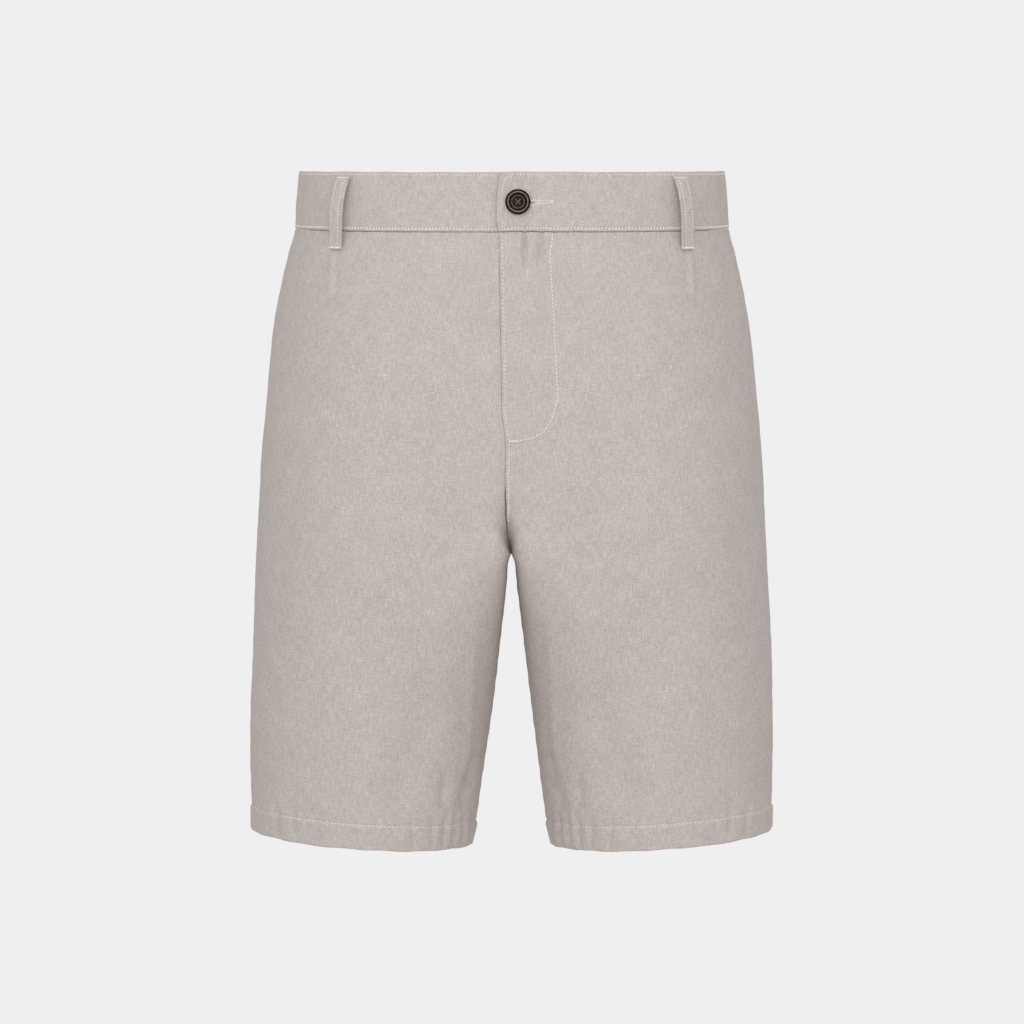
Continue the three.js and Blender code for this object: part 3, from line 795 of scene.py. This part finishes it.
def panel_arcs(z, face, side):
    """Arc lengths of a panel's columns from the inner edge to the side seam."""
    whole = length(z, face, side)
    above, below = length(-200, face, side), length(-300, face, side)
    even = whole if z > -200 or z < -300 else above + (below - above) * smoothstep(-z, 200, 300)
    u = np.linspace(0, 1, PANEL_STEPS[face] + 1) ** PANEL_CROWDING[face]
    s = whole - (1 - u) * even - (whole - even) * np.maximum(0, 1 - 2 * u) ** 2
    low, high = panel_start(z, face, side), whole - SEAM_GAP / 2
    return edged(low, low + EDGE_INSET + (s - s[0]) * (high - low - 2 * EDGE_INSET) / (s[-1] - s[0]), high)


def panel(face, side):
    inward = np.array([panel_arcs(z, face, side) for z in PANEL_HEIGHTS])
    inner_away, seam_away = inward - inward[:, :1], inward[:, -1:] - inward
    edge_away = np.minimum(inner_away, seam_away)
    z = PANEL_HEIGHTS[:, None]
    top_away, bottom_away = z[0] - z, z - z[-1]

    # The hem is turned up. Its stitches press a groove, and above it the cloth swells at both ends.
    turned_up = smoothstep(-z, -HEM_STITCH - 0.8, -HEM_STITCH + 0.8)
    outer = 0.4 * turned_up - 0.5 * bell(z - HEM_STITCH, 0.9)
    bulge = smoothstep(-z, -HEM_STITCH - 3, -HEM_STITCH + 1)
    ends = np.exp(-inner_away / 8) + np.exp(-seam_away / 8)
    outer = outer + bulge * ends - 1.1 * bell(z - HEM_STITCH, 1.6) * ends
    for at, half, deep in SIDE_NOTCHES:
        outer = outer - deep * bell(z - at, half) * np.exp(-seam_away / 5)

    # The seams pull the cloth into small puckers
    pulls = 0.2 * np.exp(-inner_away / 5) * np.sin(0.47 * z + 1.9 * side)
    pulls += 0.3 * np.exp(-seam_away / 6) * np.sin(0.39 * z + 0.6 * np.sin(0.1 * z) + face)
    pulls += 0.2 * np.exp(-top_away / 6) * np.sin(0.43 * inward + 2.0 * side + face)
    outer = outer + pulls * (1 - turned_up)

    # The left front laps over the right one, and rises over the lap of the waistband
    if face == FRONT:
        above = smoothstep(z, -260, -204)
        outer = outer + (0.7 * bell(inner_away, 7) if side > 0 else -0.7 * bell(inner_away, 5)) * above
        if side > 0:
            outer = outer - 0.35 * bell(inner_away - LAP_STITCH, 0.8) * above
            by_lap = 1 - smoothstep(inward, 40, 75)
            outer = outer + 0.9 * bell(top_away, 16) * by_lap * (1 - bell(inner_away, 7))

    thickness = PANEL_WALL + (HEM_WALL - PANEL_WALL) * turned_up
    middle = outer - thickness / 2
    thickness = thickness * (edge_round(edge_away, 0.9) * edge_round(top_away, 0.8) * edge_round(bottom_away, 1.1))
    between = smoothstep(edge_away, 2, 22) * np.exp(-bottom_away / 7)
    uneven = 0.22 * between * (np.sin(0.21 * inward + side) + 0.8 * np.sin(0.083 * inward + 2 * face))
    arcs = inward
    if face == BACK:
        arcs = np.array([ring_length(z, side) for z in PANEL_HEIGHTS])[:, None] - inward
        arcs, middle, thickness, uneven = (grid[:, ::-1] for grid in (arcs, middle, thickness, uneven))
    made = Cloth(side, PANEL_HEIGHTS, arcs, middle, thickness, hem=True, grain=face)
    made.lift(uneven)
    return made


def add_panels():
    panels = {}
    for word, side in SIDES.items():
        for face, name in FACE_NAME.items():
            made = panel(face, side)
            cloth_piece(f"{name}_panel_{word}", made, f"{name}_{word}")
            panels[face, side] = made
    return panels


# Waistband

BAND_HEIGHTS = np.concatenate([
    -np.array([0, 0.1, 0.35, 0.8, 1.4, 2.2, 3.0, 3.4, 3.7, 4.0, 4.4, 5.2]),
    np.linspace(-7.5, -BAND_HEIGHT + 6.2, 13),
    -BAND_HEIGHT + np.array([0, 0.15, 0.4, 0.8, 1.3, 1.9, 2.3, 2.6, 2.9, 3.3, 4.2])[::-1],
])
BAND_STEPS = 250
BAND_STITCH_TOP, BAND_STITCH_BOTTOM = -2.1, -BAND_HEIGHT + 2.0


def band(side):
    rows = []
    for z in BAND_HEIGHTS:
        low = float(column(BAND_END, "arc", z)) if side > 0 else -LAP_UNDER_END
        high = ring_length(z, side) + SEAM_LAP[BACK]
        rows.append(edged(low, np.linspace(low + EDGE_INSET, high - EDGE_INSET, BAND_STEPS), high))
    arcs = np.array(rows)
    end_away, back_away = arcs - arcs[:, :1], arcs[:, -1:] - arcs
    z = BAND_HEIGHTS[:, None]
    from_top, from_bottom = z - BAND_STITCH_TOP, z - BAND_STITCH_BOTTOM
    quilt = 0.18 * np.sin(0.52 * arcs + 0.05 * z * np.sin(0.02 * arcs) + side) * bell(from_top, 5)
    quilt += 0.24 * np.sin(0.44 * arcs + 1.1 * side) * bell(from_bottom, 6)
    quilt += 0.3 * np.sin(0.13 * arcs + 0.11 * z) * np.sin(0.045 * arcs + 0.02 * z)
    quilt += 0.25 * np.sin(0.21 * arcs + 0.16 * z + side) * bell(z + 22, 14)
    if side > 0:
        shift = LAP_OVER * (1 - smoothstep(arcs, 40, 75))
        drag = -0.9 * bell(z + 10.5 - 0.12 * (arcs - 4), 2.6) * bell(arcs - 12, 11)
        quilt = quilt + drag - 0.5 * bell(z + 27 + 0.1 * arcs, 3) * bell(arcs - 20, 12)
        quilt = quilt + 0.5 * bell(end_away, 3)
    else:
        shift = -LAP_UNDER * (1 - smoothstep(arcs, 14, 50))
    grooves = 0.35 * bell(from_top, 0.7) + 0.5 * bell(from_bottom, 0.8)
    outer = BAND_PROUD + shift - grooves + quilt
    rounding = edge_round(np.minimum(end_away, back_away), 1.3) * edge_round(-z, 1.3) * edge_round(z + BAND_HEIGHT, 0.9)
    made = Cloth(side, BAND_HEIGHTS, arcs, outer - BAND_WALL / 2, BAND_WALL * rounding)
    made.lift(0.12 * (np.sin(0.17 * arcs + side) + np.sin(0.071 * arcs)) * np.exp(z / 5))
    return made


def add_band():
    bands = {}
    for word, side in SIDES.items():
        bands[side] = band(side)
        cloth_piece(f"waistband_cloth_{word}", bands[side], f"waistband_{word}")
    return bands


# Belt loops

def loop_gap(z):
    seat = BAND_PROUD * smoothstep(z, -BAND_HEIGHT - 6, -BAND_HEIGHT) + SEAM_GAP
    bow = np.sin(math.pi * np.clip((z - LOOP_BOTTOM) / (LOOP_TOP - LOOP_BOTTOM), 0, 1))
    return seat + LOOP_STAND_OFF * np.maximum(0, bow) ** 0.7


LOOP_EDGES = np.array([0, 0.2, 0.5, 0.9, 1.4, 2.0, 2.6])
LOOP_OFFSETS = np.concatenate([LOOP_EDGES, np.linspace(3.4, LOOP_WIDTH - 3.4, 7), LOOP_WIDTH - LOOP_EDGES[::-1]])
LOOP_ENDS = np.array([0, 0.15, 0.4, 0.8, 1.3])
LOOP_HEIGHTS = np.concatenate([
    LOOP_TOP - LOOP_ENDS, np.linspace(LOOP_TOP - 2.2, LOOP_BOTTOM + 2.2, 40), LOOP_BOTTOM + LOOP_ENDS[::-1],
])
ACROSS = np.repeat(LOOP_OFFSETS[None], len(LOOP_HEIGHTS), 0)
INNER_ROW, OUTER_ROW = 3.4, 2.0  # from the loop's edges to its rows of stitches


def loop_profile():
    """Middle and thickness of a loop's wall: two rows of stitches press it, and its edges are folded."""
    z = LOOP_HEIGHTS[:, None]
    away = np.minimum(ACROSS, LOOP_WIDTH - ACROSS)
    rounding = edge_round(away, 0.9) * edge_round(LOOP_TOP - z, 0.8) * edge_round(z - LOOP_BOTTOM, 0.8)
    press = 0.3 * bell(LOOP_WIDTH - ACROSS - OUTER_ROW, 0.75) + 0.08 * np.sin(0.9 * z + ACROSS)
    press = press + 0.85 * bell(ACROSS - 2.0, 0.5) + 0.3 * bell(ACROSS - INNER_ROW, 0.6)
    press = press - 0.35 * bell(away - 0.9, 0.8) - 0.7 * bell(ACROSS - 0.8, 0.7)
    return loop_gap(z) + LOOP_WALL / 2 - press / 2, (LOOP_WALL - press) * rounding


def add_loops():
    middle, thick = loop_profile()
    loops = {}
    for word, side in SIDES.items():
        for place, share in LOOP_SHARE.items():
            arcs = np.array([share * ring_length(z, side) + LOOP_OFFSETS - LOOP_WIDTH / 2 for z in LOOP_HEIGHTS])
            loops[f"{place}_{word}"] = Cloth(side, LOOP_HEIGHTS, arcs, middle, thick)
    loops["back_centre"] = centre_loop(middle, thick)
    sewing = []
    for place, made in loops.items():
        cloth_piece(f"belt_loop_cloth_{place}", made, f"belt_loop_{place}")
        sewing += loop_sewing(made)
    joined("belt_loop_stitches", sewing, THREAD)


def centre_loop(middle, thick):
    """The loop over the centre back: its right half is the mirror image of its left half."""
    half = np.abs(ACROSS - LOOP_WIDTH / 2)
    arcs = np.array([ring_length(z, 1) for z in LOOP_HEIGHTS])[:, None] - half
    made = Cloth(1, LOOP_HEIGHTS, arcs, middle, thick)
    plain = np.array([ring_points(z, 1, s) for z, s in zip(LOOP_HEIGHTS, arcs)])
    plain[..., 0] *= np.where(ACROSS < LOOP_WIDTH / 2, 1.0, -1.0)
    normals = normals_of(plain)
    made.raise_wall(plain, np.where(normals[..., 1:2] < 0, -normals, normals), middle, thick)
    made.arcs = ACROSS
    return made


def loop_sewing(made):
    parts = []
    for last, away, thick, sink in ((False, INNER_ROW, 0.74, 0.2), (True, OUTER_ROW, 0.36, 0.5)):
        line = made.from_edge(away, LOOP_TOP - 2.5, LOOP_BOTTOM + 2.5, last)
        parts.append(stitches(line, 2.3, 0.78, thick, sink, slant=0.5))
    for z, high, over, thick in ((LOOP_TOP - 1.4, 1.3, 0.4, 0.45), (LOOP_BOTTOM + 1.0, 1.9, -0.4, 0.6)):
        line = made.along_row(z, 0.1, 0.1, 24)
        along = line[0][-1] - line[0][0]
        parts.append(bar_tack(line, along, np.linalg.norm(along) - over, high, 20, thick))
    return parts


# Inside pieces

SHIELD_FROM, SHIELD_TO, SHIELD_WALL = -14, 37, 1.5
FACING_HALF, FACING_TOP, FACING_BOTTOM, FACING_WALL = 24, -66, -247, 1.2


def add_inside():
    rows = np.array([-42.6, -46, *np.linspace(-52, -184, 34), -186.0])
    arcs = np.repeat(np.linspace(SHIELD_FROM, SHIELD_TO, 22)[None], len(rows), 0)
    depth = np.full(arcs.shape, -PANEL_WALL - SEAM_GAP - SHIELD_WALL / 2)
    away = np.minimum(arcs - SHIELD_FROM, SHIELD_TO - arcs)
    shield = Cloth(1, rows, arcs, depth, SHIELD_WALL * edge_round(away + 0.05, 0.9))
    cloth_piece("fly_shield_cloth", shield, "fly_shield")
    rows = np.linspace(FACING_TOP, FACING_BOTTOM, 50)
    for word, side in SIDES.items():
        arcs = np.array([length(z, FRONT, side) + np.linspace(-FACING_HALF, FACING_HALF, 22) for z in rows])
        depth = np.full(arcs.shape, -PANEL_WALL - SEAM_GAP - FACING_WALL / 2)
        facing = Cloth(side, rows, arcs, depth, np.full(arcs.shape, FACING_WALL))
        cloth_piece(f"pocket_facing_cloth_{word}", facing, f"pocket_facing_{word}")


# Sewing

# The stitching round the free end of the left waistband: distance from the end, and height
END_STITCHES = (
    (11, -2.2), (8.2, -2.8), (5.8, -4.2), (4.3, -6.4), (3.7, -9), (3.4, -16), (3.3, -28), (3.5, -34),
    (3.8, -BAND_HEIGHT + 2.2),
)

# The fly's stitching, as x and height on the left front
FLY_STITCHES = (
    (28.5, -43), (26.8, -60), (28.6, -97), (31.7, -158.5), (32.4, -167.7), (32.7, -172), (31, -176.2), (29, -184),
    (27.1, -189), (22.7, -195.4), (18.2, -198.2), (12.7, -200.3), (6.9, -201.4), (-0.5, -202.3),
)


def fly_places():
    """The fly's stitching as arc lengths and nominal heights."""
    places = []
    for x, z in FLY_STITCHES:
        points, arcs = quarter(z, FRONT, 1)
        places.append((np.interp(x, points[:, 0], arcs), z))
    return places


def add_sewing(panels, bands):
    hem = [stitches(made.along_row(HEM_STITCH, 0.6, 0.6), 3.0, 0.64, 0.68, slant=0.15, turned=(0.5, 0.96, 0.4))
           for made in panels.values()]
    joined("hem_stitches", hem, THREAD)
    rows = []
    for side, made in bands.items():
        top_start, bottom_start = (11.5, 3.6) if side > 0 else (25, 25)
        rows.append(stitches(made.along_row(BAND_STITCH_TOP, top_start, 0.6, 1200), 2.2, 0.8, 0.7, slant=1.0))
        low = made.along_row(BAND_STITCH_BOTTOM, bottom_start, 0.6, 1200)
        rows.append(stitches(low, 2.5, 0.86, 1.05, 0.25, slant=1.7))
    rows.append(stitches(bands[1].through_places(END_STITCHES), 2.3, 0.76, 0.5))
    joined("waistband_stitches", rows, THREAD)
    front = panels[FRONT, 1]
    lap = stitches(front.from_edge(LAP_STITCH, -44, -202), 2.9, 0.8, 0.55, slant=0.6)
    low = stitches(front.from_edge(LAP_STITCH, -204, -259), 2.2, 0.82, 0.85, slant=0.5)
    curve = stitches(front.through(fly_places()), 2.9, 0.86, 0.9, slant=0.3)
    line = front.through([(2.2, -202.1), (8.5, -202.1)])
    tack = bar_tack(line, line[0][-1] - line[0][0], 6.4, 1.5, 14, 0.6)
    joined("fly_stitches", [lap, low, curve, tack], THREAD)
    tacks = []
    for side in SIDES.values():
        for z in (-70.5, -243.5):
            line = panels[FRONT, side].from_edge(1.6, z + 1, z - 1, True, 5)
            tacks.append(bar_tack([values[2:3] for values in line], (0, 1, 0), 7, 1.6, 14, 0.45))
    joined("pocket_tacks", tacks, THREAD)


HOLE_FROM, HOLE_TO = 12.6, 28.6
BUTTON_ROW = 20  # the waistband's row nearest to the button


def add_buttonhole(made):
    """The hole behind the button, worked with close uneven stitches and pulled open by the button. A dark capsule in
    its slit is painted shade.
    """
    places = np.linspace(HOLE_FROM, HOLE_TO, 24)
    row = np.arange(len(places))
    columns = np.interp(places, made.arcs[BUTTON_ROW], np.arange(made.arcs.shape[1]))
    narrowing = 1 - 0.6 * smoothstep(places, HOLE_FROM + 2, HOLE_TO)
    middle_z = -BUTTON_BELOW_TOP - 0.6 + 0.06 * (places - HOLE_FROM)
    parts = []
    for lean in (1.0, -1.0):
        uneven = 1 + 0.16 * np.sin(2.3 * row + lean) + 0.1 * np.sin(5.1 * row)
        middle, normal = made.at(made.row_of(middle_z + lean * 1.45 * narrowing * uneven), columns)
        up = unit(np.stack([0.35 * lean * np.sin(3.7 * row + lean), np.zeros(len(row)), np.ones(len(row))], -1))
        parts.append(capsules(middle, normal, up, 1.15 * narrowing * uneven, 0.56, 0.05))
    end = made.at(made.row_of(middle_z[-2:]), columns[-2:])
    parts.append(bar_tack(end, (0, 0, 1), 2.0, 1.5, 5, 0.55))
    joined("buttonhole_stitches", parts, THREAD)
    # Painted shadow: a dark capsule placed in the slit, where the opening is in shade
    slit_shade, normal = made.at(made.row_of(middle_z[2:3]), columns[2:3])
    joined("buttonhole_slit_shade", [capsules(slit_shade, normal, (1, 0, 0.08), 2.4, 0.5, 0.45)], SLIT_SHADE)


# Button

HOLE_CIRCLE, HOLE_RADIUS, SUNK_FACE = 2.3, 0.95, 1.6
# Outline of the button as radius and height over its back
BUTTON_PROFILE = (
    (0, 0), (7.2, 0), (8.3, 0.35), (8.85, 1.0), (9.0, 1.7), (8.85, 2.35), (8.5, 2.8), (8.1, 3.02), (7.7, 3.02),
    (7.5, 3.1), (7.25, 3.2), (6.95, 3.2), (6.7, 3.08), (6.55, 2.95), (6.4, 2.95), (6.2, 2.75), (6.0, 2.35),
    (5.7, 1.95), (5.3, 1.8), (4.9, 1.82), (4.75, 1.98), (4.45, 2.02), (4.2, 1.98), (4.05, 1.8), (3.6, 1.72),
    (2.4, 1.66), (0, 1.66),
)


def lathe(name, profile, steps):
    """A solid of revolution about the y axis, its face towards -y, in millimetres."""
    vertices, faces = [], []
    ring = [(math.cos(2 * math.pi * k / steps), math.sin(2 * math.pi * k / steps)) for k in range(steps)]
    for r, h in profile[1:-1]:
        vertices += [(r * c, -h, r * s) for c, s in ring]
    rows = len(profile) - 2
    for i in range(rows - 1):
        for k in range(steps):
            a, b = i * steps + k, i * steps + (k + 1) % steps
            faces.append((a, b, b + steps, a + steps))
    for height, first in ((profile[0][1], 0), (profile[-1][1], (rows - 1) * steps)):
        centre = len(vertices)
        vertices.append((0, -height, 0))
        faces += [(centre, first + k, first + (k + 1) % steps) for k in range(steps)]
    return mesh_object(name, vertices, faces)


def bore(thing, x, z, radius):
    """Cuts a round hole along y through a mesh."""
    drill = lathe("drill", ((0, -2), (radius, -2), (radius, 6), (0, 6)), 28)
    drill.location = (x * MM, 0, z * MM)
    modifier = thing.modifiers.new("hole", "BOOLEAN")
    modifier.operation = "DIFFERENCE"
    modifier.solver = "EXACT"
    modifier.object = drill
    bpy.context.view_layer.update()
    shape = bpy.data.meshes.new_from_object(thing.evaluated_get(bpy.context.evaluated_depsgraph_get()))
    thing.modifiers.clear()
    thing.data = shape
    bpy.data.objects.remove(drill)


def add_button(made):
    column_at = np.interp([BUTTON_X], made.arcs[BUTTON_ROW], np.arange(made.arcs.shape[1]))
    seat, _ = made.at(made.row_of([-BUTTON_BELOW_TOP]), column_at)
    centre = np.array([seat[0][0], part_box("button")[1][1] / MM, seat[0][2]])
    thing = lathe("button_body", BUTTON_PROFILE, 96)
    angles = [math.pi / 4 + k * math.pi / 2 for k in range(4)]
    holes = [(HOLE_CIRCLE * math.cos(a), HOLE_CIRCLE * math.sin(a)) for a in angles]
    for x, z in holes:
        bore(thing, x, z, HOLE_RADIUS)
    shape = thing.data
    for material in (HORN_DARK, HORN_RIM, HORN_RING):
        shape.materials.append(material)
    for face in shape.polygons:
        x, y, z = face.center / MM
        r = math.hypot(x, z)
        face.material_index = 1 if 6.5 < r < 7.45 and y < -2 else 2 if 4.1 < r < 4.85 and y < -1.5 else 0
        face.use_smooth = True
    shape.transform(Matrix.Translation(centre * MM))
    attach(thing, "root")
    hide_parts("button")
    add_shank(centre, holes)


def add_shank(centre, holes):
    """Sewing thread: strands cross over the sunk middle, go down the holes and wind round the shank."""
    parts = []
    for first, second in ((0, 2), (1, 3)):
        (x1, z1), (x2, z2) = holes[first], holes[second]
        ahead = np.array([x2 - x1, 0, z2 - z1]) / math.hypot(x2 - x1, z2 - z1)
        for k in (-1, 0, 1):
            out_by = SUNK_FACE + 0.1 + 0.22 * (first == 1) + 0.08 * (k == 0)
            middle = centre + [0.34 * k * ahead[2], -out_by, -0.34 * k * ahead[0]]
            parts.append(capsules(middle, (0, -1, 0), ahead, HOLE_CIRCLE + 0.35, 0.42, 0.1))
    for x, z in holes:
        for dx in (-0.3, 0.3):
            parts.append(capsules(centre + [x + dx, -0.4, z], (0, 0, 1), (0, 1, 0), 1.7, 0.42, 0.5))
    radius, rounds = 2.9, 4
    turns = np.linspace(0, 2 * math.pi * rounds, 64)
    for a, b in zip(turns[:-1], turns[1:]):
        c, s = math.cos((a + b) / 2), math.sin((a + b) / 2)
        middle = centre + [radius * c, 0.35 + 0.7 * a / turns[-1], radius * s]
        parts.append(capsules(middle, (c, 0, s), (-s, 0, c), radius * (b - a) * 0.62, 0.45, 0.5))
    thing = joined("button_sewing", parts, SHANK_THREAD)
    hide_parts("button_thread")


# Studio

WORLD = 0.61
# Lamps: name, place and side in metres, and power in watts
LIGHTS = (
    ("key", (-0.8, -2.4, 1.0), 1.4, 11),
    ("front", (0.3, -3.2, -0.1), 1.5, 26),
    ("top", (0.2, -1.8, 1.9), 1.2, 4.5),
)
PIXEL = 0.74 * MM  # metres of the side seam plane in one pixel of the photograph
PIXELS, SENSOR = 1024, 36
DISTANCE = 2.6
EYE_Z = -0.252
FLOOR_Z, WALL_Y, BEND, HALF_WIDTH = -0.82, 3.6, 0.5, 8.0


def add_studio():
    scene = bpy.context.scene
    scene.view_settings.view_transform = "Standard"
    scene.view_settings.look = "None"
    camera = bpy.data.cameras.new("camera")
    camera.sensor_width = SENSOR
    camera.lens = SENSOR * DISTANCE / (PIXELS * PIXEL)
    camera.clip_end = 50
    scene.camera = linked("camera", camera)
    scene.camera.location = (0.25 * PIXEL, -DISTANCE, EYE_Z)
    scene.camera.rotation_euler = (math.pi / 2, 0, 0)
    world = bpy.data.worlds.new("studio")
    world.use_nodes = True
    world.node_tree.nodes["Background"].inputs[0].default_value = (1, 1, 1, 1)
    world.node_tree.nodes["Background"].inputs[1].default_value = WORLD
    scene.world = world
    for name, place, size, power in LIGHTS:
        light = bpy.data.lights.new(name, "AREA")
        light.shape = "SQUARE"
        light.size = size
        light.energy = power
        lamp = linked(name, light)
        lamp.location = place
        lamp.rotation_euler = (Vector((0, 0, EYE_Z)) - Vector(place)).to_track_quat("-Z", "Y").to_euler()
    backdrop = Nodes("pale_backdrop")
    backdrop.shader.inputs["Base Color"].default_value = (0, 0, 0, 1)
    backdrop.shader.inputs["Specular IOR Level"].default_value = 0.0
    backdrop.shader.inputs["Emission Color"].default_value = srgb(239, 239, 239)
    place = backdrop.new("ShaderNodeSeparateXYZ")
    backdrop.link(backdrop.new("ShaderNodeTexCoord").outputs["Object"], place.inputs[0])
    near = backdrop.new("ShaderNodeMapRange", clamp=True)
    for socket, value in zip(near.inputs[1:5], (0.5, 1.05, 0.62, 1.0)):
        socket.default_value = value
    backdrop.link(place.outputs[1], near.inputs[0])
    backdrop.link(near.outputs[0], backdrop.shader.inputs["Emission Strength"])
    profile = [(-5.0, FLOOR_Z), (WALL_Y - BEND, FLOOR_Z)]
    for angle in np.linspace(0, math.pi / 2, 13)[1:]:
        profile.append((WALL_Y - BEND + BEND * math.sin(angle), FLOOR_Z + BEND - BEND * math.cos(angle)))
    profile.append((WALL_Y, 6.0))
    vertices = [(x / MM, y / MM, z / MM) for y, z in profile for x in (-HALF_WIDTH, HALF_WIDTH)]
    faces = [(2 * k, 2 * k + 1, 2 * k + 3, 2 * k + 2) for k in range(len(profile) - 1)]
    sweep = mesh_object("backdrop", vertices, faces)
    sweep.data.materials.append(backdrop.material)


panels = add_panels()
bands = add_band()
add_loops()
add_inside()
add_sewing(panels, bands)
add_buttonhole(bands[1])
add_button(bands[1])
add_studio()
